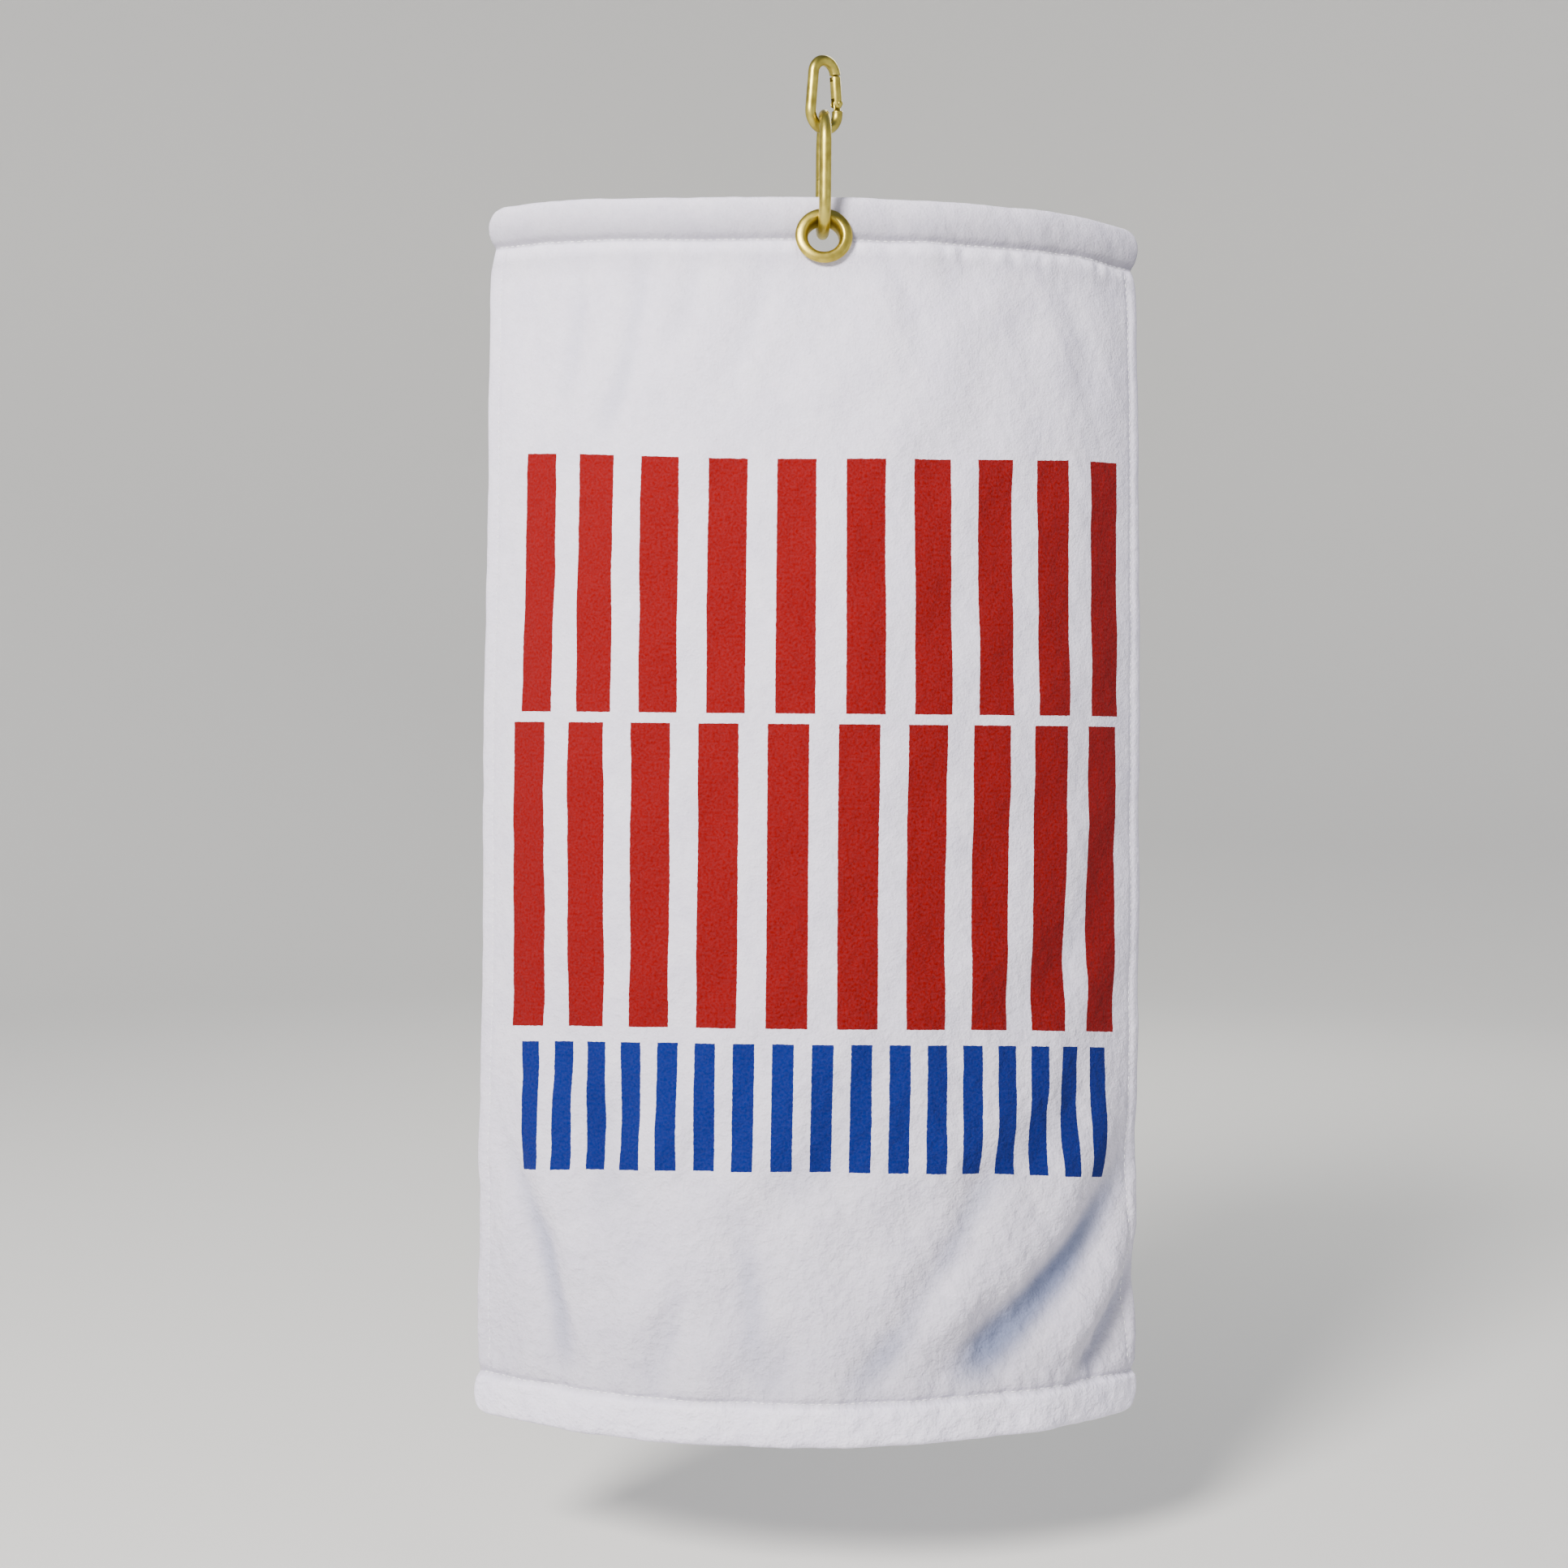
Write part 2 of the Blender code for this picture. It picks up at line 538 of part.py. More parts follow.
def build_towel(upper, lower):
    """Both halves with their hems. The grommet's hole goes through the top hem and the panel."""
    edge = TOWEL_WIDTH / 2
    hole_edge = HEM_HOLE_RADIUS + CLEARANCE
    top_thread = TOP_HEM_HEIGHT + CLEARANCE
    bottom_hem = TOWEL_LENGTH - BOTTOM_HEM_HEIGHT
    bottom_thread = bottom_hem - CLEARANCE - THREAD_WIDTH
    hem = build_cross_hem("top_hem", upper, 0, TOP_HEM_HEIGHT)
    build_cross_thread("top_hem_thread_left", upper, -edge, -hole_edge, top_thread)
    build_cross_thread("top_hem_thread_right", upper, hole_edge, edge, top_thread)
    panel_from = top_thread + THREAD_WIDTH + CLEARANCE
    panel = build_half("upper", upper, panel_from, FOLD_DROP - FOLD_GAP / 2, UPPER_DROP_STEPS)
    for piece in (hem, panel):
        hole = cylinder(
            GROMMET_AXIS, GROMMET_CENTRE, HEM_HOLE_RADIUS, 4 * HEM_THICKNESS, TURNED_STEPS
        )
        cut(piece, hole, f"grommet_hole_in_{piece.name}")
    lower_to = bottom_thread - CLEARANCE
    build_half("lower", lower, FOLD_DROP + FOLD_GAP / 2, lower_to, LOWER_DROP_STEPS)
    build_cross_thread("bottom_hem_thread", lower, -edge, edge, bottom_thread)
    build_cross_hem("bottom_hem", lower, bottom_hem, TOWEL_LENGTH)


clear_scene()
snap_hook = make_body("snap_hook", Vector((0, 0, 0)))
gate = make_body("gate", RIVET)
link = make_body("link", LINK_PIVOT)
towel_upper = make_body("towel_upper", TOWEL_PIVOT)
towel_lower = make_body("towel_lower", FOLD_PIVOT)
build_snap_body(snap_hook)
build_rivet(snap_hook)
build_gate(gate)
build_gate_spring(gate)
build_long_link(link)
build_grommet(towel_upper)
build_towel(towel_upper, towel_lower)
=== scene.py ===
"""Golf towel: white velour cloth with a printed front, hung by a brass grommet, link and snap hook."""

import math

import bmesh
import bpy
import numpy as np
from mathutils import Matrix, Vector


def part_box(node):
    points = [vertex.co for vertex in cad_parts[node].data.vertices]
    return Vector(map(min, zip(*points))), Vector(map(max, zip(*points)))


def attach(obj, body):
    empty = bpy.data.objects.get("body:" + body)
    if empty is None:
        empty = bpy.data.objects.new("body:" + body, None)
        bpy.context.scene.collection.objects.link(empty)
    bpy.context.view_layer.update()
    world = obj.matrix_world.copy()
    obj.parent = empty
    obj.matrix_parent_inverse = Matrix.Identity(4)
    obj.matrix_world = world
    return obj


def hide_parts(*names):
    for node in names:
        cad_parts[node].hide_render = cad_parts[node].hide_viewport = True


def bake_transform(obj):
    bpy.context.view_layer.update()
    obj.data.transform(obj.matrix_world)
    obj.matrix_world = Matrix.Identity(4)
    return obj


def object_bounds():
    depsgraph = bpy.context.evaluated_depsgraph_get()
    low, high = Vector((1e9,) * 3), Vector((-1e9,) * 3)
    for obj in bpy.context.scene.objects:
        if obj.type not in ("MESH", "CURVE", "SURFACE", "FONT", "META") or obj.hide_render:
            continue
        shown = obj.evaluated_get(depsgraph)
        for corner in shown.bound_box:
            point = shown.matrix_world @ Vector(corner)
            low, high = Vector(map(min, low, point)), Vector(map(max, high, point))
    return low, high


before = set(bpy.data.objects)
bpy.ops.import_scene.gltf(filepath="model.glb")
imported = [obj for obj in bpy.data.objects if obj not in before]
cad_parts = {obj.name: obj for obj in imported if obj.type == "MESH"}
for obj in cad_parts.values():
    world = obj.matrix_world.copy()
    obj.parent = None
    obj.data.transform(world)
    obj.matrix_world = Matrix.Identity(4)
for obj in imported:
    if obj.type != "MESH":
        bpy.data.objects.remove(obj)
CAD_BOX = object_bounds()

# ---------------------------------------------------------------------------------------------
# Towel cloth. One piece of cotton terry, its face sheared to a velour pile and its back left in
# loops. The top and bottom ends are folded over to wide hems, the sides to narrow ones, and the
# whole hangs from a grommet in the top hem, bowed as it lies round a golf bag.
# ---------------------------------------------------------------------------------------------

TOWEL_WIDTH = 0.279
TOWEL_LENGTH = 0.457
BOW_RADIUS = 0.178
HANG_LEAN = math.radians(2.5)
TOP_LEAN = math.radians(12)
TOP_LEAN_REACH = 0.060
GROMMET_DROP = 0.0150
PILE_HALF = 0.00125  # half the thickness of the single cloth
TOP_HEM = 0.0165
BOTTOM_HEM = 0.0160
SIDE_HEM = 0.0060
TOP_HEM_HALF = 0.0024
BOTTOM_HEM_HALF = 0.0029
SIDE_HEM_HALF = 0.0018
SEAM_HALF = 0.0003  # where the thread pulls the layers together
BORE_RADIUS = 0.00575
HOLE_RADIUS = 0.0069
LINK_WIRE = 0.0044
PIVOT_GAP = 0.0006  # between the link's wire and the bore that hangs on it
CORNER_ROUND = 0.0075
NOSE = 0.0024  # distance over which a folded edge rounds off
HEM_SWELL = (0.0028, 0.0002)  # out from its seam, where a hem is full and where it has thinned away
CROWN = 0.14  # of a hem's thickness, by which its middle stands above its edges
SEAM_WIDTH = 0.0011
SEAM_LIP = (0.00045, 0.0042, 0.0030)  # raised pile on a seam's inner side: height, distance, width
PUCKER = (0.00025, 0.0030, 0.0040)  # likewise for the puckers that the thread draws up


def lean_at(drop):
    """Slope of the cloth: the hanging lean plus the top's, which falls off as a bell with depth."""
    return HANG_LEAN + TOP_LEAN * np.exp(-((drop / TOP_LEAN_REACH) ** 2))


GROMMET_TILT = float(lean_at(GROMMET_DROP))
link_low, link_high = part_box("long_link")
link_outer = (link_high.y - link_low.y) / 2
hang = link_outer - LINK_WIRE - PIVOT_GAP + BORE_RADIUS
GROMMET_CENTRE = np.array((
    0.0, -hang * math.sin(GROMMET_TILT), link_low.z + link_outer - hang * math.cos(GROMMET_TILT),
))

DROPS = np.linspace(-0.02, TOWEL_LENGTH + 0.02, 2000)


def spine(drop):
    """Forward and downward run of the cloth at its middle, from the grommet: the sum of its slope."""
    step = DROPS[1] - DROPS[0]
    forward = np.cumsum(np.sin(lean_at(DROPS))) * step
    down = np.cumsum(np.cos(lean_at(DROPS))) * step
    start = [np.interp(GROMMET_DROP, DROPS, run) for run in (forward, down)]
    return np.interp(drop, DROPS, forward) - start[0], np.interp(drop, DROPS, down) - start[1]


def smooth(low, high, value):
    """0 below low, 1 above high, and an S curve in between."""
    t = np.clip((value - low) / (high - low), 0, 1)
    return t * t * (3 - 2 * t)


def bell(value, width):
    """1 at zero, falling off as exp(-(value / width)^2)."""
    return np.exp(-((value / width) ** 2))


def ripple(x, y, wave, seed):
    """Soft random-looking waves of about one wavelength: five sines in directions fixed by the seed."""
    rng = np.random.default_rng(seed)
    total = np.zeros(np.broadcast(x, y).shape)
    turns, shifts, stretches = rng.uniform(0, math.pi, 5), rng.uniform(0, 6.3, 5), rng.uniform(0.7, 1.5, 5)
    for turn, shift, stretch in zip(turns, shifts, stretches):
        total += np.sin(2 * math.pi * (x * math.cos(turn) + y * math.sin(turn)) / wave * stretch + shift)
    return total / 3


# Folds: where each starts and ends across and down the cloth, how deep, how wide, in mm.
FOLDS_MM = (
    (130, 362, 50, 436, 5.4, 12.0),
    (66, 358, 12, 440, 2.8, 8.5),
    (140, 394, 104, 442, 3.4, 8.0),
    (-124, 352, -94, 440, 3.0, 7.5),
    (-88, 392, -76, 442, 1.4, 9.0),
    (-30, 372, -22, 440, 2.0, 8.5),
    (-50, 396, -62, 440, 1.6, 7.0),
    (-8, 408, -16, 442, 1.0, 6.0),
    (-68, 20, -86, 92, 1.9, 7.0),
    (-95, 26, -104, 84, 1.4, 6.5),
    (-46, 20, -64, 66, 1.2, 6.0),
    (-20, 22, -38, 70, 1.0, 6.0),
    (24, 22, 38, 62, 0.7, 6.0),
    (92, 22, 112, 78, 0.8, 8.0),
    (124, 236, 66, 312, 1.0, 12.0),
    (116, 306, 56, 376, 1.2, 11.0),
    (-100, 296, -76, 384, 1.2, 13.0),
    (24, 296, -14, 372, 1.1, 12.0),
)


def folds(across, drop):
    """Depth of the folds: each a valley along a bent line, with a lower ridge on both its sides. Its
    width grows along it, and its depth is full from 0.45 to 0.78 of its length and fades at both ends."""
    lift = np.zeros(across.shape)
    for x0, y0, x1, y1, depth, width in np.array(FOLDS_MM) / 1000:
        length = math.hypot(x1 - x0, y1 - y0)
        ux, uy = (x1 - x0) / length, (y1 - y0) / length
        along = ((across - x0) * ux + (drop - y0) * uy) / length
        aside = (across - x0) * uy - (drop - y0) * ux
        reach = np.clip(along, 0, 1)
        aside = aside - 0.05 * length * np.sin(math.pi * reach)
        spread = width * (0.75 + 0.35 * reach)
        fade = smooth(-0.25, 0.45, along) * (1 - smooth(0.78, 1.10, along))
        ridge = 0.5 * bell(aside + 1.7 * spread, 1.2 * spread)
        ridge = ridge + 0.4 * bell(aside - 1.8 * spread, 1.3 * spread)
        lift += depth * fade * (ridge - bell(aside, spread))
    return lift


def nose(distance, reach):
    """Quarter circle: 0 at the edge, 1 from reach inwards."""
    t = np.clip(1 - distance / reach, 0, 1)
    return np.sqrt(1 - t * t)


def half_thickness(across, drop):
    """Half the cloth's thickness: single pile, doubled hems with a full edge, stitched grooves with
    puckers beside them, and round outer edges."""
    side = TOWEL_WIDTH / 2 - np.abs(across)
    top, bottom = drop, TOWEL_LENGTH - drop
    half = np.full(across.shape, PILE_HALF)
    pucker = ripple(across, 0 * drop, 0.0085, 3) + 0.6 * ripple(across, 0 * drop, 0.0034, 4)
    for edge, hem, thick in ((top, TOP_HEM, TOP_HEM_HALF), (bottom, BOTTOM_HEM, BOTTOM_HEM_HALF)):
        inside = 1 - smooth(hem - HEM_SWELL[0], hem - HEM_SWELL[1], edge)
        crown = 1 - CROWN + CROWN * np.sin(math.pi * np.clip(edge / hem, 0, 1))
        half += (thick * crown - PILE_HALF) * inside
        half += SEAM_LIP[0] * bell(edge - hem - SEAM_LIP[1], SEAM_LIP[2]) * (1 + 0.4 * pucker)
        half -= (PILE_HALF - SEAM_HALF) * bell(edge - hem, SEAM_WIDTH) * (1 + 0.15 * pucker)
        half += PUCKER[0] * pucker * bell(edge - hem - PUCKER[1], PUCKER[2])
    inside = 1 - smooth(SIDE_HEM - 0.0018, SIDE_HEM, side)
    between = smooth(TOP_HEM, TOP_HEM + 0.004, top) * smooth(BOTTOM_HEM, BOTTOM_HEM + 0.004, bottom)
    half += (SIDE_HEM_HALF - PILE_HALF) * inside * between
    half -= 0.4 * (PILE_HALF - SEAM_HALF) * bell(side - SIDE_HEM, SEAM_WIDTH) * between
    half *= 1 + 0.05 * ripple(across, drop, 0.011, 5)
    return half * nose(side, NOSE) * nose(top, NOSE) * nose(bottom, NOSE)


# Where the sides stand out, or draw in if negative: by how much, at what drop, over what length.
SIDE_STAND = (
    (0.0018, TOP_HEM / 2, 0.006),
    (-0.0024, TOP_HEM + 0.002, 0.005),
    (0.0012, TOWEL_LENGTH - BOTTOM_HEM / 2, 0.006),
    (-0.0010, TOWEL_LENGTH - BOTTOM_HEM - 0.002, 0.004),
)
# How the sides waver: height, the ripple's offset for each side, wavelength and seed.
SIDE_WAVER = ((0.00025, 40, 0.055, 6), (0.00015, 9, 0.017, 7))
TOP_DRAW = 0.0030  # by which the top is drawn in at each side
BOTTOM_SHIFT = 0.0016  # of the bottom edge to the left
TOP_RAISE = (0.0012, 0.0026, 0.0024)  # of the top edge: all of it, more at its left, less at its right
BOTTOM_BEND = 0.0022  # by which the bottom edge is lower at its ends than in its middle


def outline(across, drop):
    """Moves the flat cloth inside its outline: round corners, a top drawn in and a little askew, a
    flatter bottom edge, hem ends that stand out, and sides that waver."""
    share = across / (TOWEL_WIDTH / 2)
    side = TOWEL_WIDTH / 2 - np.abs(across)
    sign = np.sign(across)
    upper = 1 - smooth(0.0, 0.22, drop)
    lower = smooth(0.28, TOWEL_LENGTH, drop)
    for edge, down in ((drop, 1), (TOWEL_LENGTH - drop, -1)):
        a = np.clip(CORNER_ROUND - side, 0, None) / CORNER_ROUND
        b = np.clip(CORNER_ROUND - edge, 0, None) / CORNER_ROUND
        across = across - sign * a * (1 - np.sqrt(1 - b * b / 2)) * CORNER_ROUND
        drop = drop + down * b * (1 - np.sqrt(1 - a * a / 2)) * CORNER_ROUND
    near_side = 1 - smooth(0, 0.030, side)
    stand = sum(height * bell(drop - at, length) for height, at, length in SIDE_STAND)
    for height, apart, wave, seed in SIDE_WAVER:
        stand = stand + height * ripple(drop, apart * sign, wave, seed)
    across = across + sign * near_side * stand - TOP_DRAW * share * upper - BOTTOM_SHIFT * lower
    whole, left, right = TOP_RAISE
    raised = whole + left * smooth(0.25, 0.85, -share) - right * smooth(0.7, 1.0, share)
    drop = drop - raised * upper + BOTTOM_BEND * (share * share - 0.35) * lower
    return across, drop


def hem_hold(drop):
    """Share of a fold that is left where the doubled hems hold the cloth flat: 1 in the open cloth, down
    to a quarter over the top hem and to four tenths at the bottom edge."""
    top = 0.75 * smooth(TOP_HEM - 0.002, TOP_HEM + 0.012, drop) + 0.25
    return top * (1 - 0.6 * smooth(-BOTTOM_HEM, -0.006, drop - TOWEL_LENGTH))


SLOW_WAVE = (0.0015, 0.085)  # height and wavelength
MIDDLE_WAVE = (0.00050, 0.028)
FINE_WAVE = (0.00013, 0.009)
CALM = (0.011, 0.028)  # from the grommet's centre, a tenth of the relief is left here, and all of it here


def cloth_surface(across, drop, face):
    """Place of a cloth point. The flat point is bowed to an arc in plan, carried down the leaning spine,
    then lifted along its normal by the folds, three sizes of wave and half the thickness. face is 1 for
    the front, -1 for the back and 0 between them."""
    across, drop = np.broadcast_arrays(across, drop)
    flat_across, flat_drop = outline(across, drop)
    turn = flat_across / BOW_RADIUS
    slope = lean_at(flat_drop)
    forward, down = spine(flat_drop)
    normal = np.stack([np.sin(turn), -np.cos(turn) * np.cos(slope), np.sin(slope)], -1)
    normal /= np.linalg.norm(normal, axis=-1, keepdims=True)
    free = smooth(0.010, 0.060, drop)
    low = smooth(0.26, 0.40, drop)
    calm = 1 - 0.9 * (1 - smooth(*CALM, np.hypot(across, drop - GROMMET_DROP)))
    waves = SLOW_WAVE[0] * ripple(across, drop * 0.5, SLOW_WAVE[1], 11) * free
    waves = waves + MIDDLE_WAVE[0] * ripple(across, drop, MIDDLE_WAVE[1], 12) * (1 + low)
    waves = waves + FINE_WAVE[0] * ripple(across, drop, FINE_WAVE[1], 13) * (1 + 1.5 * low)
    steady = 0.4 + 0.6 * smooth(0, 0.035, TOWEL_WIDTH / 2 - np.abs(across))
    rise = folds(across, drop) * hem_hold(drop) + waves * steady
    lift = rise * calm + face * half_thickness(across, drop)
    place = np.stack([BOW_RADIUS * np.sin(turn), BOW_RADIUS * (1 - np.cos(turn)) - forward, -down], -1)
    return place + GROMMET_CENTRE + normal * lift[..., None]


def graded(stops):
    """Grid lines through (position, spacing) stops: even cells between one stop and the next, as near as
    they fit to the next stop's spacing."""
    lines = [stops[0][0]]
    for (start, _), (end, spacing) in zip(stops, stops[1:]):
        count = max(1, round((end - start) / spacing))
        lines += list(start + (end - start) * np.arange(1, count + 1) / count)
    return np.array(lines)


HOLE_COLUMNS = 2  # cells each side of the grommet's centre that are left out
HOLE_ROWS = 4


def open_hole(across, drop, columns, rows):
    """Spreads grid lines round the grommet: a small block of cells becomes the hole, its edge moved on to
    a circle, and the cells out to four times the block's size are moved by less and less."""
    a, b = across, drop - GROMMET_DROP
    half_a = columns[len(columns) // 2 + HOLE_COLUMNS]
    row = int(np.argmin(np.abs(rows - GROMMET_DROP)))
    half_b = (rows[row + HOLE_ROWS] - rows[row - HOLE_ROWS]) / 2
    square = np.maximum(np.abs(a) / half_a, np.abs(b) / half_b)
    radius = np.hypot(a, b)
    edge = radius / np.maximum(square, 1e-9)
    weight = np.clip((4 - square) / 3, 0, 1)
    moved = radius + weight * (HOLE_RADIUS - edge)
    scale = np.where(square > 0.99, moved / np.maximum(radius, 1e-9), 1)
    return a * scale, GROMMET_DROP + b * scale, square < 0.99


def add_mesh(name, points, faces, smooth_shaded=True):
    """An object at the origin from arrays of points and faces."""
    mesh = bpy.data.meshes.new(name)
    mesh.from_pydata(np.asarray(points).tolist(), [], [list(map(int, face)) for face in faces])
    mesh.update()
    mesh.polygons.foreach_set("use_smooth", [smooth_shaded] * len(mesh.polygons))
    piece = bpy.data.objects.new(name, mesh)
    bpy.context.scene.collection.objects.link(piece)
    return piece


def build_towel():
    """Front and back grids of the cloth, which share their outer edge and are joined round the hole.
    Each point keeps its place on the flat cloth, front or back, and how far the folds lift it."""
    edge = TOWEL_WIDTH / 2
    right = graded((
        (0, 0), (edge - 0.009, 0.0018), (edge - 0.0048, 0.0007), (edge - 0.0012, 0.0009), (edge, 0.0003),
    ))
    columns = np.concatenate([-right[:0:-1], right])
    seam, low_seam = TOP_HEM, TOWEL_LENGTH - BOTTOM_HEM
    rows = graded((
        (0, 0), (0.0012, 0.0003), (0.0030, 0.0009), (GROMMET_DROP - 0.0024, 0.0012),
        (GROMMET_DROP + 0.0024, 0.0006), (seam + 0.0030, 0.0006),
        (seam + 0.0100, 0.0012), (low_seam - 0.0090, 0.00185), (low_seam - 0.0030, 0.0010),
        (low_seam + 0.0024, 0.0006), (TOWEL_LENGTH - 0.0030, 0.0012), (TOWEL_LENGTH - 0.0012, 0.0009),
        (TOWEL_LENGTH, 0.0003),
    ))
    flat_across, flat_drop = np.meshgrid(columns, rows)
    across, drop, removed = open_hole(flat_across, flat_drop, columns, rows)
    high, wide = across.shape
    front = cloth_surface(across, drop, 1).reshape(-1, 3)
    back = cloth_surface(across, drop, -1).reshape(-1, 3)
    index = np.arange(high * wide).reshape(high, wide)
    rim = np.zeros((high, wide), bool)
    rim[[0, -1]] = True
    rim[:, [0, -1]] = True
    back_index = np.where(rim, index, index + high * wide)

    def cells(numbers, flip):
        quads = np.stack([numbers[:-1, :-1], numbers[1:, :-1], numbers[1:, 1:], numbers[:-1, 1:]], -1)
        whole = ~(removed[:-1, :-1] | removed[1:, :-1] | removed[1:, 1:] | removed[:-1, 1:])
        quads = quads[whole]
        return quads[:, ::-1] if flip else quads

    middle = int(np.argmin(np.abs(rows - GROMMET_DROP)))
    centre = len(columns) // 2
    ring = [(middle - HOLE_ROWS, centre + i) for i in range(-HOLE_COLUMNS, HOLE_COLUMNS)]
    ring += [(middle + i, centre + HOLE_COLUMNS) for i in range(-HOLE_ROWS, HOLE_ROWS)]
    ring += [(middle + HOLE_ROWS, centre - i) for i in range(-HOLE_COLUMNS, HOLE_COLUMNS)]
    ring += [(middle - i, centre - HOLE_COLUMNS) for i in range(-HOLE_ROWS, HOLE_ROWS)]
    wall = []
    for (r0, c0), (r1, c1) in zip(ring, ring[1:] + ring[:1]):
        wall.append((index[r0, c0], back_index[r0, c0], back_index[r1, c1], index[r1, c1]))
    faces = np.concatenate([cells(index, False), cells(back_index, True), np.array(wall)])
    points = np.concatenate([front, back])
    flat = np.stack([across, drop, np.full(across.shape, 0.001)], -1).reshape(-1, 3)
    flat = np.concatenate([flat, flat * (1, 1, -1)])
    used = np.unique(faces)
    renumber = np.zeros(len(points), int)
    renumber[used] = np.arange(len(used))
    piece = add_mesh("towel_cloth", points[used], renumber[faces])
    layout = piece.data.attributes.new("cloth", "FLOAT_VECTOR", "POINT")
    layout.data.foreach_set("vector", flat[used].astype(np.float32).ravel())
    # How deep the folds sink each point, for the material's painted shade in their hollows.
    hollow = np.tile((folds(across, drop) * hem_hold(drop)).ravel(), 2)
    creased = piece.data.attributes.new("hollow", "FLOAT", "POINT")
    creased.data.foreach_set("value", hollow[used].astype(np.float32))
    return piece


def linear(hex_colour, alpha=1.0):
    """An sRGB hex colour as linear RGBA."""
    parts = [int(hex_colour[i : i + 2], 16) / 255 for i in (1, 3, 5)]
    return (*[c / 12.92 if c <= 0.04045 else ((c + 0.055) / 1.055) ** 2.4 for c in parts], alpha)


def node(tree, kind, settings=None, **inputs):
    """Adds a node: settings are its own properties; inputs are values, or sockets to link from.
    An input's key is its name with underscores for spaces, or i and its number."""
    made = tree.nodes.new("ShaderNode" + kind)
    for key, value in (settings or {}).items():
        setattr(made, key, value)
    for key, value in inputs.items():
        socket = made.inputs[int(key[1:])] if key[1:].isdigit() else made.inputs[key.replace("_", " ")]
        if isinstance(value, bpy.types.NodeSocket):
            tree.links.new(value, socket)
        else:
            socket.default_value = value
    return made


def new_material(name):
    """A new material, its node tree and its Principled shader."""
    material = bpy.data.materials.new(name)
    material.use_nodes = True
    tree = material.node_tree
    return material, tree, tree.nodes["Principled BSDF"]


def per_metre(size_mm):
    """Texture scale at which noise has features of about this size in mm."""
    return 1000 / size_mm


# The print: three rows of upright bars dyed into the face. Row: top and bottom of the band, left
# end, number of bars, pitch, width of a bar and colour; lengths in mm. The tilt and the bend of the
# rows on the flat cloth are set so that they look straight from the front, where the cloth is bowed.
RED_DYE = "#7C0000"
BLUE_DYE = "#031C70"
PRINT_ROWS_MM = (
    (97.3, 189.2, -118.5, 10, 25.4, 14.4, RED_DYE),
    (192.9, 303.6, -122.0, 10, 25.6, 15.0, RED_DYE),
    (309.2, 356.0, -116.5, 17, 14.2, 7.8, BLUE_DYE),
)
PRINT_TILT = (-0.01163, 6.583e-5)  # per mm across, at the top edge and its growth per mm of drop
PRINT_BEND = (-4.326e-4, 2.685e-6)  # per mm across squared, likewise


def print_level(tree, across, drop):
    """drop - across * tilt - across^2 * bend, where tilt and bend change evenly with the drop: the drop
    at which a straight row of print lies. across and drop are in mm."""
    slopes = []
    for at_top, growth in (PRINT_TILT, PRINT_BEND):
        slopes.append(
            node(tree, "Math", {"operation": "MULTIPLY_ADD"}, i0=drop, i1=growth, i2=at_top).outputs[0]
        )
    tilt, bend = slopes
    slope = node(tree, "Math", {"operation": "MULTIPLY_ADD"}, i0=across, i1=bend, i2=tilt).outputs[0]
    moved = node(tree, "Math", {"operation": "MULTIPLY"}, i0=across, i1=slope).outputs[0]
    return node(tree, "Math", {"operation": "SUBTRACT"}, i0=drop, i1=moved).outputs[0]


def print_mask(tree, across, level, row):
    """1 inside a row's bars: between the band's top and bottom, and where the distance along the row
    is past a whole number of pitches by less than a bar's width. across and level are in mm."""
    top, bottom, left, count, pitch, bar, _ = row
    along = node(tree, "Math", {"operation": "SUBTRACT"}, i0=across, i1=left).outputs[0]
    pitches = node(tree, "Math", {"operation": "DIVIDE"}, i0=along, i1=pitch).outputs[0]
    past = node(tree, "Math", {"operation": "FRACT"}, i0=pitches).outputs[0]
    mask = 1.0  # multiplied by each test in turn
    for operation, value, limit in (
        ("LESS_THAN", past, bar / pitch),
        ("GREATER_THAN", level, top),
        ("LESS_THAN", level, bottom),
        ("GREATER_THAN", along, 0.0),
        ("LESS_THAN", along, count * pitch),
    ):
        inside = node(tree, "Math", {"operation": operation}, i0=value, i1=limit).outputs[0]
        mask = node(tree, "Math", {"operation": "MULTIPLY"}, i0=inside, i1=mask).outputs[0]
    return mask


# Painted shade of the white down the towel, because the studio light alone shades these places too little:
# it darkens the top hem towards its seam, a band just below that seam, the lower panel, and a line at the
# bottom seam. Distance from the top edge in mm, and the share of white.
PAINTED_SHADE_STOPS_MM = (
    (0.0, 1.0), (3.0, 0.82), (15.6, 0.46), (16.4, 0.41), (17.3, 1.0), (19.0, 1.0), (23.5, 0.78),
    (32.0, 0.88), (60.0, 0.90), (390.0, 0.76), (439.5, 0.68), (440.6, 0.50), (441.6, 1.0), (457.0, 0.96),
)
# Painted shade for the folds' hollows: the grey-blue that they are multiplied by.
HOLLOW_PAINTED_SHADE = "#96A3BA"
HOLLOW_FROM, HOLLOW_TO = 0.0003, -0.0048  # heights of a fold between which the painted shade comes in
DYE_BLEED_MM = 0.5  # full width of the waver of a bar's edge
SEAM_WAVER = 0.0012  # likewise of the painted shade along the seams, in metres
PILE_RELIEF = 0.0009


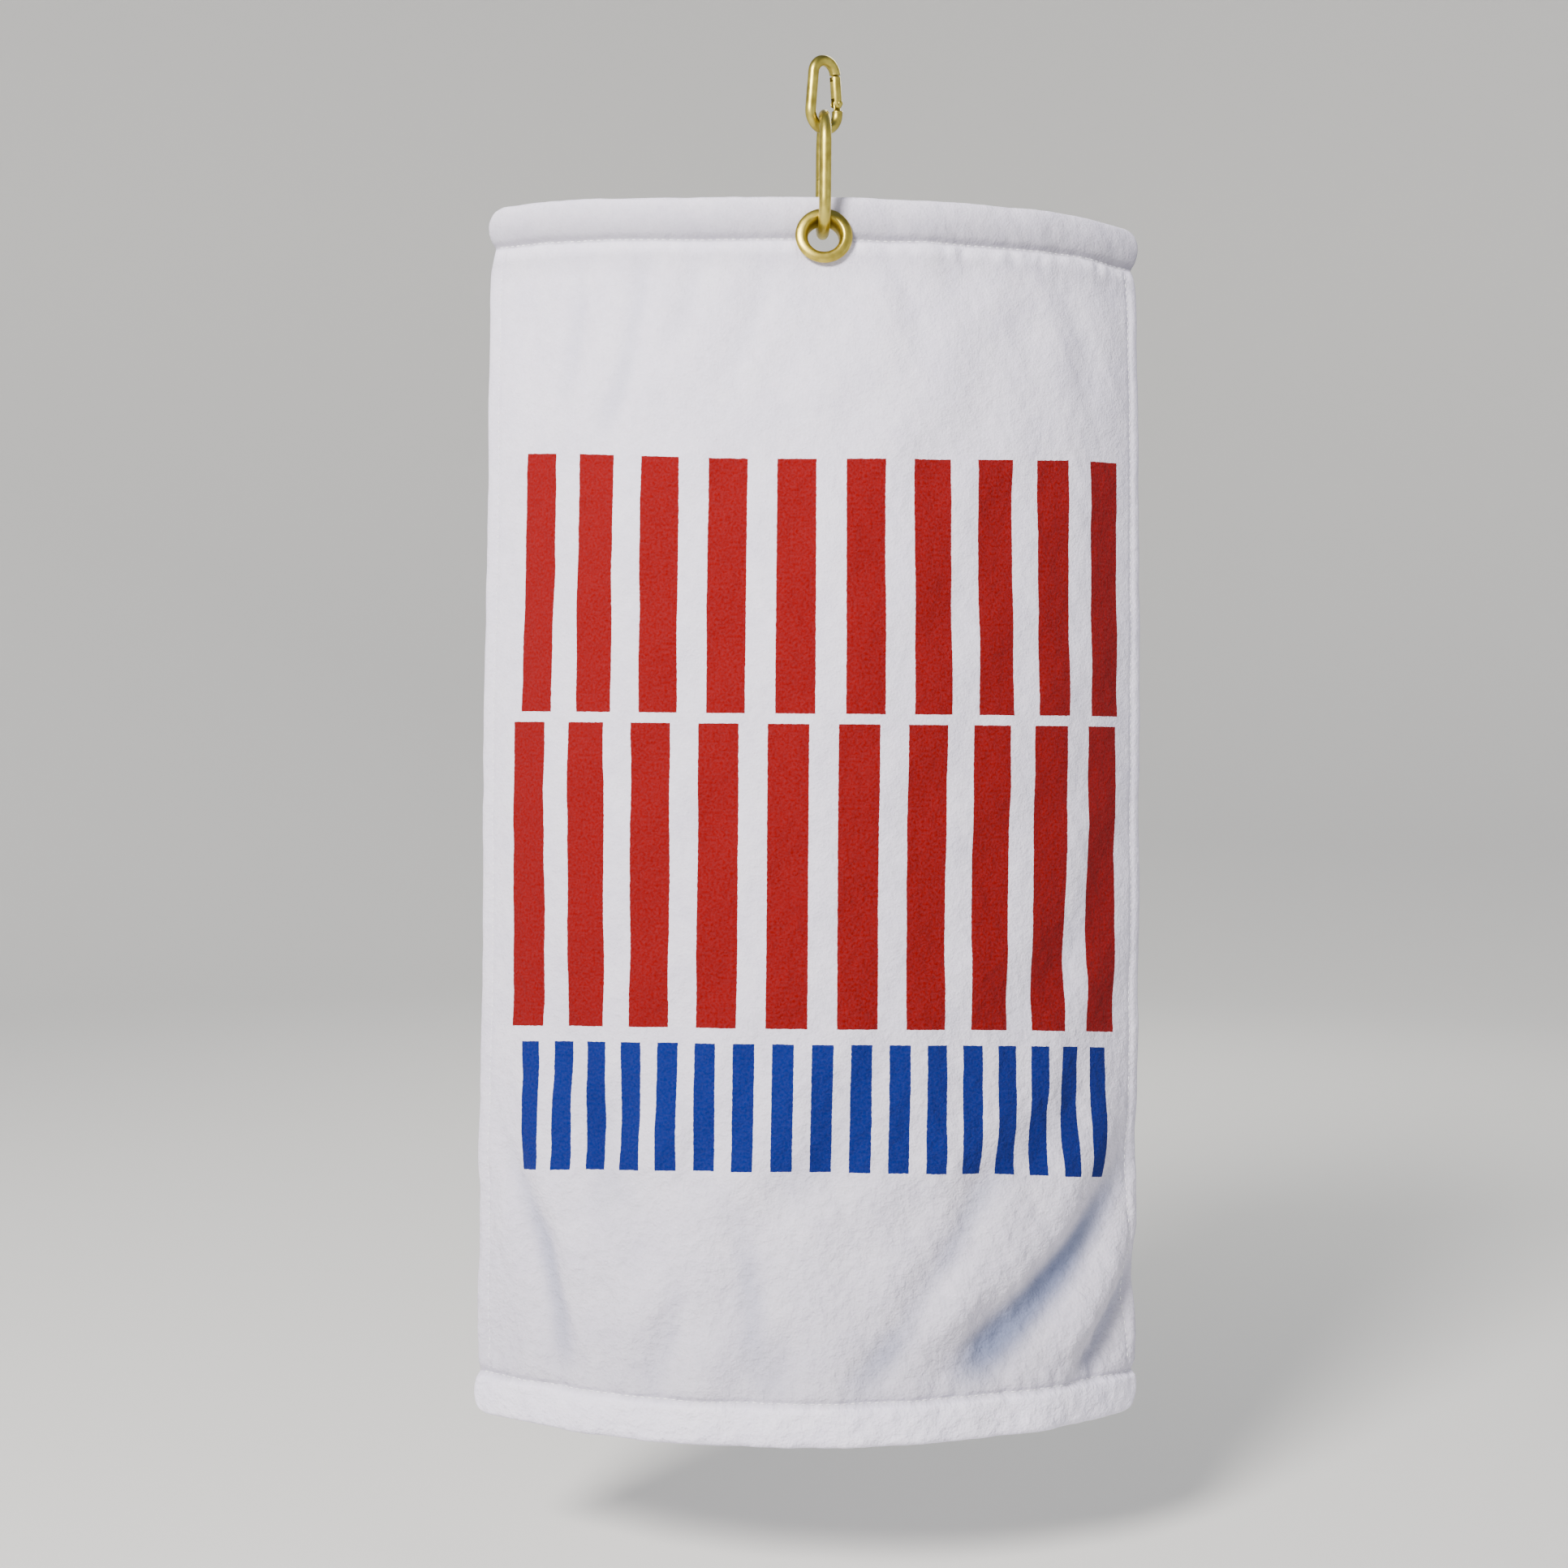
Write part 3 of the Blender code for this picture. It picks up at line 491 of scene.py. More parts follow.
def velour_material():
    """Cotton velour: a matt white pile with a faint bloom at grazing angles. The sheared face is fine and
    even, the back shows its loops. The dye covers the face's pile and doesn't reach the back. The white
    carries painted shade down the towel and in the folds' hollows."""
    material, tree, shader = new_material("cotton_velour_dyed_print")
    cloth = node(tree, "Attribute", {"attribute_name": "cloth"}).outputs["Vector"]
    place = node(tree, "SeparateXYZ", Vector=cloth).outputs
    front = node(tree, "Math", {"operation": "GREATER_THAN"}, i0=place[2], i1=0.0).outputs[0]
    # Fibre tips, coarser than real ones so that they show, tufts, cloudy nap, and what makes the seams'
    # painted shade and the dye's edge waver: size in mm and detail.
    pile, tuft, nap, waver, bleed = (
        node(
            tree, "TexNoise", Vector=cloth, Scale=per_metre(size_mm), Detail=detail, Roughness=0.6
        ).outputs["Fac"]
        for size_mm, detail in ((1.0, 1.0), (3.4, 2.0), (18.0, 3.0), (6.0, 1.0), (1.4, 2.0))
    )
    white = node(
        tree, "Mix", {"data_type": "RGBA"}, i0=nap, i6=linear("#DBD7EC"), i7=linear("#F4F0FD")
    ).outputs[2]

    # The shade: 0.93 to 1.07 by the fibre tips, times 0.92 to 1.08 by the tufts, times the stops' painted
    # shade.
    tips_shade = node(tree, "Math", {"operation": "MULTIPLY_ADD"}, i0=pile, i1=0.14, i2=0.93).outputs[0]
    tuft_shade = node(tree, "Math", {"operation": "MULTIPLY_ADD"}, i0=tuft, i1=0.16, i2=0.92).outputs[0]
    fine_shade = node(tree, "Math", {"operation": "MULTIPLY"}, i0=tips_shade, i1=tuft_shade).outputs[0]
    wavered = node(
        tree, "Math", {"operation": "MULTIPLY_ADD"}, i0=waver, i1=SEAM_WAVER, i2=-SEAM_WAVER / 2
    ).outputs[0]
    down = node(tree, "Math", {"operation": "ADD"}, i0=place[1], i1=wavered).outputs[0]
    down = node(tree, "Math", {"operation": "DIVIDE"}, i0=down, i1=TOWEL_LENGTH).outputs[0]
    # Painted shade down the towel, from the stops above.
    painted_down_shade = node(tree, "ValToRGB", Fac=down)
    elements = painted_down_shade.color_ramp.elements
    while len(elements) < len(PAINTED_SHADE_STOPS_MM):
        elements.new(1.0)
    for element, (distance_mm, _) in zip(elements, PAINTED_SHADE_STOPS_MM):
        element.position = distance_mm / 1000 / TOWEL_LENGTH
    for element, (_, grey) in zip(elements, PAINTED_SHADE_STOPS_MM):
        element.color = (grey, grey, grey, 1.0)
    shade = node(
        tree, "Math", {"operation": "MULTIPLY"}, i0=fine_shade, i1=painted_down_shade.outputs["Color"]
    ).outputs[0]

    # Dye bleeds a little along the pile, so the bars' edges waver by a fraction of a millimetre.
    bleed = node(
        tree, "Math", {"operation": "MULTIPLY_ADD"}, i0=bleed, i1=DYE_BLEED_MM, i2=-DYE_BLEED_MM / 2
    ).outputs[0]
    across, drop = (
        node(tree, "Math", {"operation": "MULTIPLY_ADD"}, i0=place[axis], i1=1000.0, i2=bleed).outputs[0]
        for axis in (0, 1)
    )
    level = print_level(tree, across, drop)
    cover = node(tree, "Math", {"operation": "MULTIPLY_ADD"}, i0=pile, i1=0.04, i2=0.97).outputs[0]
    cover = node(tree, "Math", {"operation": "MULTIPLY"}, i0=cover, i1=front).outputs[0]
    colour = white
    for row in PRINT_ROWS_MM:
        mask = print_mask(tree, across, level, row)
        mask = node(tree, "Math", {"operation": "MULTIPLY"}, i0=mask, i1=cover).outputs[0]
        colour = node(
            tree, "Mix", {"data_type": "RGBA", "clamp_factor": True},
            i0=mask, i6=colour, i7=linear(row[-1]),
        ).outputs[2]
    shaded = node(
        tree, "Mix", {"data_type": "RGBA", "blend_type": "MULTIPLY"}, i0=1.0, i6=colour, i7=shade
    ).outputs[2]

    # Painted shade: the folds' hollows are tinted grey-blue on the face, because light alone left them pale.
    hollow = node(tree, "Attribute", {"attribute_name": "hollow"}).outputs["Fac"]
    hollow_shade_share = node(
        tree, "MapRange", {"interpolation_type": "SMOOTHSTEP"},
        Value=hollow, i1=HOLLOW_FROM, i2=HOLLOW_TO, i3=0.0, i4=1.0,
    ).outputs[0]
    hollow_shade_share = node(tree, "Math", {"operation": "MULTIPLY"}, i0=hollow_shade_share, i1=front).outputs[0]
    with_hollow_shade = node(
        tree, "Mix", {"data_type": "RGBA", "blend_type": "MULTIPLY"},
        i0=hollow_shade_share, i6=shaded, i7=linear(HOLLOW_PAINTED_SHADE),
    ).outputs[2]
    tree.links.new(with_hollow_shade, shader.inputs["Base Color"])
    shader.inputs["Roughness"].default_value = 0.95
    shader.inputs["Specular IOR Level"].default_value = 0.06
    shader.inputs["Sheen Weight"].default_value = 0.04
    shader.inputs["Sheen Roughness"].default_value = 0.5
    shader.inputs["Sheen Tint"].default_value = linear("#F4F4FA")

    # The face's relief is tufts and tips, and the tufts' height grows down the towel. The back's is its
    # loops, each a cell with its middle raised, and tufts.
    loops = node(tree, "TexVoronoi", Vector=cloth, Scale=per_metre(1.7), Randomness=0.7).outputs["Distance"]
    tuft_height = node(tree, "MapRange", Value=place[1], i1=0.20, i2=0.40, i3=0.7, i4=1.6).outputs[0]
    tips = node(tree, "Math", {"operation": "MULTIPLY"}, i0=pile, i1=0.35).outputs[0]
    face_height = node(
        tree, "Math", {"operation": "MULTIPLY_ADD"}, i0=tuft, i1=tuft_height, i2=tips
    ).outputs[0]
    back_tufts = node(tree, "Math", {"operation": "MULTIPLY"}, i0=tuft, i1=0.6).outputs[0]
    loop_height = node(
        tree, "Math", {"operation": "MULTIPLY_ADD"}, i0=loops, i1=-1.4, i2=back_tufts
    ).outputs[0]
    height = node(
        tree, "Mix", {"data_type": "FLOAT"}, i0=front, i2=loop_height, i3=face_height
    ).outputs[0]
    bump = node(tree, "Bump", Height=height, Strength=0.8, Distance=PILE_RELIEF)
    tree.links.new(bump.outputs[0], shader.inputs["Normal"])
    return material


towel = build_towel()
towel.data.materials.append(velour_material())
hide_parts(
    "top_hem", "towel_upper_panel", "left_hem_upper", "right_hem_upper",
    "towel_lower_panel", "left_hem_lower", "right_hem_lower", "bottom_hem",
)
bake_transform(towel)

# ---------------------------------------------------------------------------------------------
# Sewing thread. White polyester in a plain lockstitch along each hem, pulled into the pile so
# that each stitch shows only as a short bright dash in its groove, on the face and on the back.
# ---------------------------------------------------------------------------------------------

THREAD_RADIUS = 0.00022
STITCH_PITCH = 0.0030
STITCH_LENGTH = 0.0022
STITCH_ARCH = 0.00020  # by which a stitch's middle stands above its ends
STITCH_SINK = 0.00012  # of its ends into the cloth's surface
ROW_INSET = 0.0040  # of a thread row's ends from the edges that it runs to
HOLE_CLEAR = 0.0045  # kept free of stitches round the grommet's hole


def face_outwards(piece):
    """Turns a closed mesh's faces outwards."""
    work = bmesh.new()
    work.from_mesh(piece.data)
    bmesh.ops.recalc_face_normals(work, faces=work.faces)
    work.to_mesh(piece.data)
    work.free()


def stitches(name, across, drop, along_across, along_drop):
    """A row of stitches: each a hexagonal rod lying in the cloth's surface, on both faces, arched as a
    parabola and tapered as an ellipse to its ends."""
    steps = np.linspace(-1, 1, 5)
    ring = np.arange(6) * math.pi / 3
    points = []
    for face in (1, -1):
        centre_across = across[:, None] + along_across * steps * STITCH_LENGTH / 2
        centre_drop = drop[:, None] + along_drop * steps * STITCH_LENGTH / 2
        base = cloth_surface(centre_across, centre_drop, face)
        inner = cloth_surface(centre_across, centre_drop, 0)
        out = base - inner
        out /= np.linalg.norm(out, axis=-1, keepdims=True)
        run = base[:, -1:] - base[:, :1]
        run = run / np.linalg.norm(run, axis=-1, keepdims=True)
        side = np.cross(out, np.broadcast_to(run, out.shape))
        arch = (1 - steps**2)[None, :, None] * STITCH_ARCH - STITCH_SINK
        thick = THREAD_RADIUS * np.sqrt(np.clip(1.04 - steps**2, 0, 1))[None, :, None, None]
        spokes = out[:, :, None] * np.sin(ring)[:, None] + side[:, :, None] * np.cos(ring)[:, None]
        points.append((base + out * arch)[:, :, None] + spokes * thick)
    points = np.concatenate(points)
    count, rings, sides = points.shape[:3]
    number = np.arange(count * rings * sides).reshape(count, rings, sides)
    turned = np.roll(number, -1, axis=2)
    quads = np.stack([number[:, :-1], number[:, 1:], turned[:, 1:], turned[:, :-1]], -1).reshape(-1, 4)
    faces = [list(map(int, quad)) for quad in quads]
    faces += number[:, 0].tolist() + number[:, -1, ::-1].tolist()
    piece = add_mesh(name, points.reshape(-1, 3), faces)
    face_outwards(piece)
    return piece


def thread_material():
    """Spun polyester thread: smoother than the cotton, with the ply's twist across it as diagonal bands.
    They come 1.1 mm apart, coarser than a real ply's, so that they can show."""
    material, tree, shader = new_material("spun_polyester_thread")
    place = node(tree, "TexCoord").outputs["Object"]
    twist = node(
        tree, "TexWave", {"bands_direction": "DIAGONAL"}, Vector=place, Scale=per_metre(3.0)
    )
    colour = node(
        tree, "Mix", {"data_type": "RGBA"},
        i0=twist.outputs["Fac"], i6=linear("#D9D9E0"), i7=linear("#F2F2F6"),
    )
    tree.links.new(colour.outputs[2], shader.inputs["Base Color"])
    shader.inputs["Roughness"].default_value = 0.6
    shader.inputs["Sheen Weight"].default_value = 0.2
    bump = node(tree, "Bump", Height=twist.outputs["Fac"], Strength=0.4, Distance=0.00008)
    tree.links.new(bump.outputs[0], shader.inputs["Normal"])
    return material


THREAD = thread_material()
row_half = TOWEL_WIDTH / 2 - ROW_INSET
row_places = np.arange(-row_half, row_half, STITCH_PITCH)
clear_of_hole = np.abs(row_places) > HOLE_RADIUS + HOLE_CLEAR
top_row = row_places[clear_of_hole]
top_thread = stitches("top_hem_stitches", top_row, np.full(top_row.shape, TOP_HEM), 1, 0)
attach(top_thread, "towel_upper")
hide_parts("top_hem_thread_left", "top_hem_thread_right")
bottom_drop = np.full(row_places.shape, TOWEL_LENGTH - BOTTOM_HEM)
bottom_thread = stitches("bottom_hem_stitches", row_places, bottom_drop, 1, 0)
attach(bottom_thread, "towel_lower")
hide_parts("bottom_hem_thread")
side_drops = np.arange(TOP_HEM + ROW_INSET, TOWEL_LENGTH - BOTTOM_HEM - ROW_INSET, STITCH_PITCH)
side_threads = []
for side_name, sign in (("left", -1), ("right", 1)):
    side_across = np.full(side_drops.shape, sign * (TOWEL_WIDTH / 2 - SIDE_HEM))
    row = stitches(f"{side_name}_hem_stitches", side_across, side_drops, 0, 1)
    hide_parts(f"{side_name}_hem_upper_thread", f"{side_name}_hem_lower_thread")
    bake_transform(row)
    side_threads.append(row)
for row in (top_thread, bottom_thread, *side_threads):
    row.data.materials.append(THREAD)

# ---------------------------------------------------------------------------------------------
# Grommet. A brass eyelet pressed from sheet: a thick rolled lip in front, a barrel through the
# hem, its end curled over a flat washer behind. Satin from tumbling, with darker cloudy patches.
# ---------------------------------------------------------------------------------------------

GROMMET_RADIUS = 0.0105
HEM_THICKNESS = 0.0050
PRESS_GAP = 0.0003  # between one metal part and the next, and under the lip
SEAT_GAP = PRESS_GAP + GROMMET_RADIUS**2 / (2 * BOW_RADIUS)  # with the cloth's bow under a flat ring
LIP_WIDTH = 0.0020
LIP_PROUD = 0.0021
WASHER_THICKNESS = 0.0008
WASHER_BORE = BORE_RADIUS + 0.0011
BACK_ROLL_WIDTH = 0.0030
BACK_ROLL_HEIGHT = 0.0006
BARREL_WALL = 0.0008
BARREL_HALF = 0.0010  # half the length of the barrel's straight middle
GROMMET_AXIS = np.array((0, -math.cos(GROMMET_TILT), math.sin(GROMMET_TILT)))
GROMMET_DOWN = np.array((0, -math.sin(GROMMET_TILT), -math.cos(GROMMET_TILT)))


def turned(name, profile, segments=96):
    """A closed profile of (radius, height) carried round the grommet's axis as one grid."""
    profile = np.array(profile)
    angle = 2 * math.pi * np.arange(segments) / segments
    spoke = np.cos(angle)[:, None] * GROMMET_DOWN + np.sin(angle)[:, None] * np.array((1.0, 0, 0))
    points = spoke[:, None] * profile[None, :, :1] + GROMMET_AXIS * profile[None, :, 1:]
    points = points + GROMMET_CENTRE
    number = np.arange(segments * len(profile)).reshape(segments, -1)
    beside = np.roll(number, -1, 1)
    quads = [number, beside, np.roll(beside, -1, 0), np.roll(number, -1, 0)]
    piece = add_mesh(name, points.reshape(-1, 3), np.stack(quads, -1).reshape(-1, 4))
    face_outwards(piece)
    return piece


def arc(centre, radii, start, end, count):
    """Points on an ellipse from one angle to another, in degrees; angle 0 is outwards."""
    angle = np.radians(np.linspace(start, end, count))
    return [(centre[0] + radii[0] * math.cos(a), centre[1] + radii[1] * math.sin(a)) for a in angle]


def eyelet_profile():
    """Front: rim, round roll to the crest and down into the bore. Back: the barrel's curled end."""
    half_hem = HEM_THICKNESS / 2
    crest = half_hem + LIP_PROUD
    under = half_hem + SEAT_GAP
    crest_radius = BORE_RADIUS + LIP_WIDTH
    washer_back = -half_hem - SEAT_GAP - WASHER_THICKNESS
    roll_front = washer_back - PRESS_GAP
    back_crest = BORE_RADIUS + BACK_ROLL_WIDTH / 2
    profile = arc((crest_radius, under), (GROMMET_RADIUS - crest_radius, crest - under), 0, 90, 14)
    profile += arc((crest_radius, BARREL_HALF), (LIP_WIDTH, crest - BARREL_HALF), 90, 180, 16)[1:]
    curl = (BACK_ROLL_WIDTH / 2, -roll_front + BACK_ROLL_HEIGHT - BARREL_HALF)
    profile += arc((back_crest, -BARREL_HALF), curl, 180, 270, 14)
    profile += arc((back_crest, roll_front), (BACK_ROLL_WIDTH / 2, BACK_ROLL_HEIGHT), 270, 360, 8)[1:]
    return profile + [(BORE_RADIUS + BARREL_WALL, roll_front), (BORE_RADIUS + BARREL_WALL, under)]


def washer_profile():
    """A flat ring whose outer edge is a half circle."""
    front = -HEM_THICKNESS / 2 - SEAT_GAP
    back = front - WASHER_THICKNESS
    edge = WASHER_THICKNESS / 2
    rounded = arc((GROMMET_RADIUS - edge, (front + back) / 2), (edge, edge), 90, -90, 9)
    return [(WASHER_BORE, front), *rounded, (WASHER_BORE, back)]


def brass_material(name, light, dark, roughness):
    """Satin brass, tumbled and lacquered thin: warm yellow, browner in slow cloudy patches, with fine
    scratches, longest up and down, that break up its highlights."""
    material, tree, shader = new_material(name)
    place = node(tree, "TexCoord").outputs["Object"]
    cloud = node(tree, "TexNoise", Vector=place, Scale=per_metre(5), Detail=3.0).outputs["Fac"]
    stretched = node(tree, "Mapping", Vector=place, Scale=(1, 1, 0.15)).outputs[0]
    scratch = node(tree, "TexNoise", Vector=stretched, Scale=per_metre(0.35), Detail=3.0).outputs["Fac"]
    patches = node(tree, "ValToRGB", Fac=cloud)
    for element, position, colour in zip(patches.color_ramp.elements, (0.35, 0.62), (dark, light)):
        element.position = position
        element.color = linear(colour)
    tree.links.new(patches.outputs[0], shader.inputs["Base Color"])
    shader.inputs["Metallic"].default_value = 1.0
    rough = node(tree, "Math", {"operation": "MULTIPLY_ADD"}, i0=scratch, i1=0.16, i2=roughness - 0.08)
    tree.links.new(rough.outputs[0], shader.inputs["Roughness"])
    bump = node(tree, "Bump", Height=scratch, Strength=0.25, Distance=0.00006)
    tree.links.new(bump.outputs[0], shader.inputs["Normal"])
    return material


GROMMET_BRASS = brass_material("tumbled_brass_sheet", "#C6B352", "#A3913C", 0.36)
eyelet = turned("grommet_eyelet_rolled", eyelet_profile())
washer = turned("grommet_washer_turned", washer_profile())
for piece, cad_node in ((eyelet, "grommet_eyelet"), (washer, "grommet_washer")):
    piece.data.materials.append(GROMMET_BRASS)
    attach(piece, "towel_upper")
    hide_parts(cad_node)

# ---------------------------------------------------------------------------------------------
# Long link. Drawn brass wire bent to an oblong and butted shut behind the towel. Its front leg
# is what shows, edge on, going down into the grommet.
# ---------------------------------------------------------------------------------------------


def tube(name, centre, sides_axis, other_axis, half_side, half_other, segments=28, closed=False):
    """A bar through centre points, an oval ring at each: half widths along its two cross directions."""
    angle = 2 * math.pi * np.arange(segments) / segments
    ring = np.cos(angle)[None, :, None] * (sides_axis * half_side[:, None])[:, None]
    ring = ring + np.sin(angle)[None, :, None] * (other_axis * half_other[:, None])[:, None]
    points = centre[:, None] + ring
    number = np.arange(points.shape[0] * segments).reshape(-1, segments)
    nearer = np.concatenate([number, number[:1]]) if closed else number
    beside = np.roll(nearer, -1, 1)
    quads = np.stack([nearer[:-1], nearer[1:], beside[1:], beside[:-1]], -1).reshape(-1, 4)
    faces = quads.tolist()
    if not closed:
        faces += [number[0].tolist(), number[-1, ::-1].tolist()]
    piece = add_mesh(name, points.reshape(-1, 3), faces)
    face_outwards(piece)
    return piece


TOP_BEND_EASE = 0.00018  # off the wire's radius at the top, to clear the hook at the swing's ends
JOINT_AT = (0.0006, 0.0001, 0.0, -0.0001, -0.0006)  # rings of the butt joint, up and down its leg
JOINT_DEPTH = (0.0, 0.00003, 0.00022, 0.00003, 0.0)


def build_link():
    """Two half circles joined by straight legs, in the YZ plane, at the CAD link's size. The wire's
    radius is less over the upper bend, by a sine that is largest at the top."""
    low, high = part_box("long_link")
    wire = LINK_WIRE / 2
    radius = (high.y - low.y) / 2 - wire
    turn = np.linspace(0, math.pi, 40)
    upper = np.stack([0 * turn, -radius * np.cos(turn), high.z - wire - radius + radius * np.sin(turn)], -1)
    lower = np.stack([0 * turn, radius * np.cos(turn), low.z + wire + radius - radius * np.sin(turn)], -1)
    out_upper = np.stack([0 * turn, -np.cos(turn), np.sin(turn)], -1)
    out_lower = np.stack([0 * turn, np.cos(turn), -np.sin(turn)], -1)
    # The butt joint: rings close together on the back leg, the middle ones drawn in to a fine groove.
    joint_z = np.array(JOINT_AT) + (low.z + high.z) / 2
    joint = np.stack([0 * joint_z, 0 * joint_z + radius, joint_z], -1)
    out_joint = np.tile((0.0, 1.0, 0.0), (len(JOINT_AT), 1))
    centre = np.concatenate([upper, joint, lower])
    out = np.concatenate([out_upper, out_joint, out_lower])
    thick = np.full(len(centre), wire)
    thick[: len(upper)] -= TOP_BEND_EASE * np.sin(turn)
    thick[len(upper) : len(upper) + len(JOINT_DEPTH)] -= JOINT_DEPTH
    across = np.tile((1.0, 0.0, 0.0), (len(centre), 1))
    return tube("long_link_wire", centre, out, across, thick, thick, closed=True)


WIRE_BRASS = brass_material("drawn_brass_wire", "#C8B858", "#A09040", 0.37)
link = build_link()
link.data.materials.append(WIRE_BRASS)
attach(link, "link")
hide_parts("long_link")

# ---------------------------------------------------------------------------------------------
# Snap hook. Drawn brass wire bent to a teardrop, its two ends pressed to flat tongues. The gate is
# a round brass bar slotted over both tongues, on a rivet at its foot, with a spring in its bore.
# ---------------------------------------------------------------------------------------------

SNAP_WIRE = 0.0040
SNAP_HEIGHT = 0.0287
SNAP_TOP_RADIUS = 0.0050
SNAP_TURN = math.radians(35)
LIMB_CLEARANCE = 0.0011
TONGUE_WIDTH = 0.0032
TONGUE_THICKNESS = 0.0014
NOSE_TONGUE = 0.0018
NOSE_ROUND = 0.0004  # rounding of the nose tongue's tip
SHOULDER = 0.0006
SHOULDER_GAP = 0.00035
NOSE_LIFT = 0.00005  # of the nose's shoulder up the limb
SLOT_WIDTH = TONGUE_THICKNESS + 0.0006
SLOT_CUT = 0.006  # wider than the gate, so that the slots go right through it
GATE_DIAMETER = 0.0040
GATE_EDGE = 0.00035  # rounding of the gate's end
PRESSED = 0.00025  # length over which the wire goes from round to flat
RIVET_SHANK = 0.0005  # its radius, and the radius and height of each dome
DOME_RADIUS = 0.0010
DOME_HEIGHT = 0.00038
DOME_SLOPE = 0.00002  # by which a dome's rim stands further out than its underside's middle
RIVET_SEAT = GATE_DIAMETER / 2 + 0.0003  # where a dome's underside stands, out from the gate's middle

snap_bottom_radius = (LINK_WIRE + SNAP_WIRE) / 2 / math.cos(SNAP_TURN) + LIMB_CLEARANCE
snap_top_z = SNAP_WIRE / 2 - SNAP_TOP_RADIUS
snap_bottom_z = SNAP_WIRE / 2 - (SNAP_HEIGHT - SNAP_WIRE) + snap_bottom_radius
limb_slant = math.asin((snap_bottom_radius - SNAP_TOP_RADIUS) / (snap_top_z - snap_bottom_z))
limb_length = (snap_top_z - snap_bottom_z) * math.cos(limb_slant)
SNAP_ACROSS = np.array((math.cos(SNAP_TURN), math.sin(SNAP_TURN), 0.0))
SNAP_NORMAL = np.array((-math.sin(SNAP_TURN), math.cos(SNAP_TURN), 0.0))
UP = np.array((0.0, 0.0, 1.0))
LIMB_OUT = SNAP_ACROSS * math.cos(limb_slant) + UP * math.sin(limb_slant)
LIMB_UP = -SNAP_ACROSS * math.sin(limb_slant) + UP * math.cos(limb_slant)
LIMB_FOOT = UP * snap_bottom_z + LIMB_OUT * snap_bottom_radius
rivet_at = SHOULDER + SHOULDER_GAP + GATE_DIAMETER / 2
nose_at = limb_length - SHOULDER_GAP + NOSE_LIFT
gate_end_at = nose_at - SHOULDER_GAP
RIVET = LIMB_FOOT + LIMB_UP * rivet_at


def limb_rings(places, widths, thicknesses):
    """Rings up the gate's limb: centres, the two cross directions, and the half sizes along them."""
    centre = LIMB_FOOT + LIMB_UP * np.array(places)[:, None]
    out = np.tile(LIMB_OUT, (len(places), 1))
    normal = np.tile(SNAP_NORMAL, (len(places), 1))
    return centre, out, normal, np.array(widths) / 2, np.array(thicknesses) / 2


def bend_rings(centre_z, radius, start, end, count):
    """Rings round a bend in the hook's plane: the centre line is a circle about its centre."""
    turn = np.linspace(start, end, count)[:, None]
    out = SNAP_ACROSS * np.cos(turn) + UP * np.sin(turn)
    size = np.full(count, SNAP_WIRE / 2)
    return UP * centre_z + out * radius, out, np.tile(SNAP_NORMAL, (count, 1)), size, size


def build_snap_body():
    """The wire from the nose's tongue round the top bend, the spine and the bottom bend to the tongue
    that carries the gate. Each tongue is a flat oval that the round wire is pressed down to."""
    press = np.linspace(0, 1, 6)
    width = TONGUE_WIDTH + (SNAP_WIRE - TONGUE_WIDTH) * smooth(0, 1, press)
    thick = TONGUE_THICKNESS + (SNAP_WIRE - TONGUE_THICKNESS) * smooth(0, 1, press)
    end = np.linspace(0, math.pi / 2, 8)
    nose_tip = limb_rings(
        nose_at - NOSE_TONGUE + NOSE_ROUND * (1 - np.cos(end[1:])),
        TONGUE_WIDTH * np.sin(end[1:]), TONGUE_THICKNESS * np.sin(end[1:]),
    )
    nose_press = limb_rings(nose_at + PRESSED * press, width, thick)
    top = bend_rings(snap_top_z, SNAP_TOP_RADIUS, limb_slant, math.pi - limb_slant, 32)
    bottom = bend_rings(
        snap_bottom_z, snap_bottom_radius, math.pi - limb_slant, 2 * math.pi + limb_slant, 40
    )
    foot_press = limb_rings(SHOULDER - PRESSED * press[::-1], width[::-1], thick[::-1])
    foot_end = limb_rings(
        rivet_at + TONGUE_WIDTH / 2 * np.sin(end[:-1]), TONGUE_WIDTH * np.cos(end[:-1]),
        np.full(len(end) - 1, TONGUE_THICKNESS),
    )
    parts = zip(nose_tip, nose_press, top, bottom, foot_press, foot_end)
    return tube("snap_body_wire", *(np.concatenate(part) for part in parts), segments=32)


def cutter(name, centre, sides):
    """A box to cut with, from its centre and its three side vectors."""
    corners = np.array([(x, y, z) for x in (-0.5, 0.5) for y in (-0.5, 0.5) for z in (-0.5, 0.5)])
    faces = ((0, 1, 3, 2), (4, 6, 7, 5), (0, 4, 5, 1), (2, 3, 7, 6), (0, 2, 6, 4), (1, 5, 7, 3))
    piece = add_mesh(name, centre + corners @ np.array(sides), faces, smooth_shaded=False)
    face_outwards(piece)
    return piece


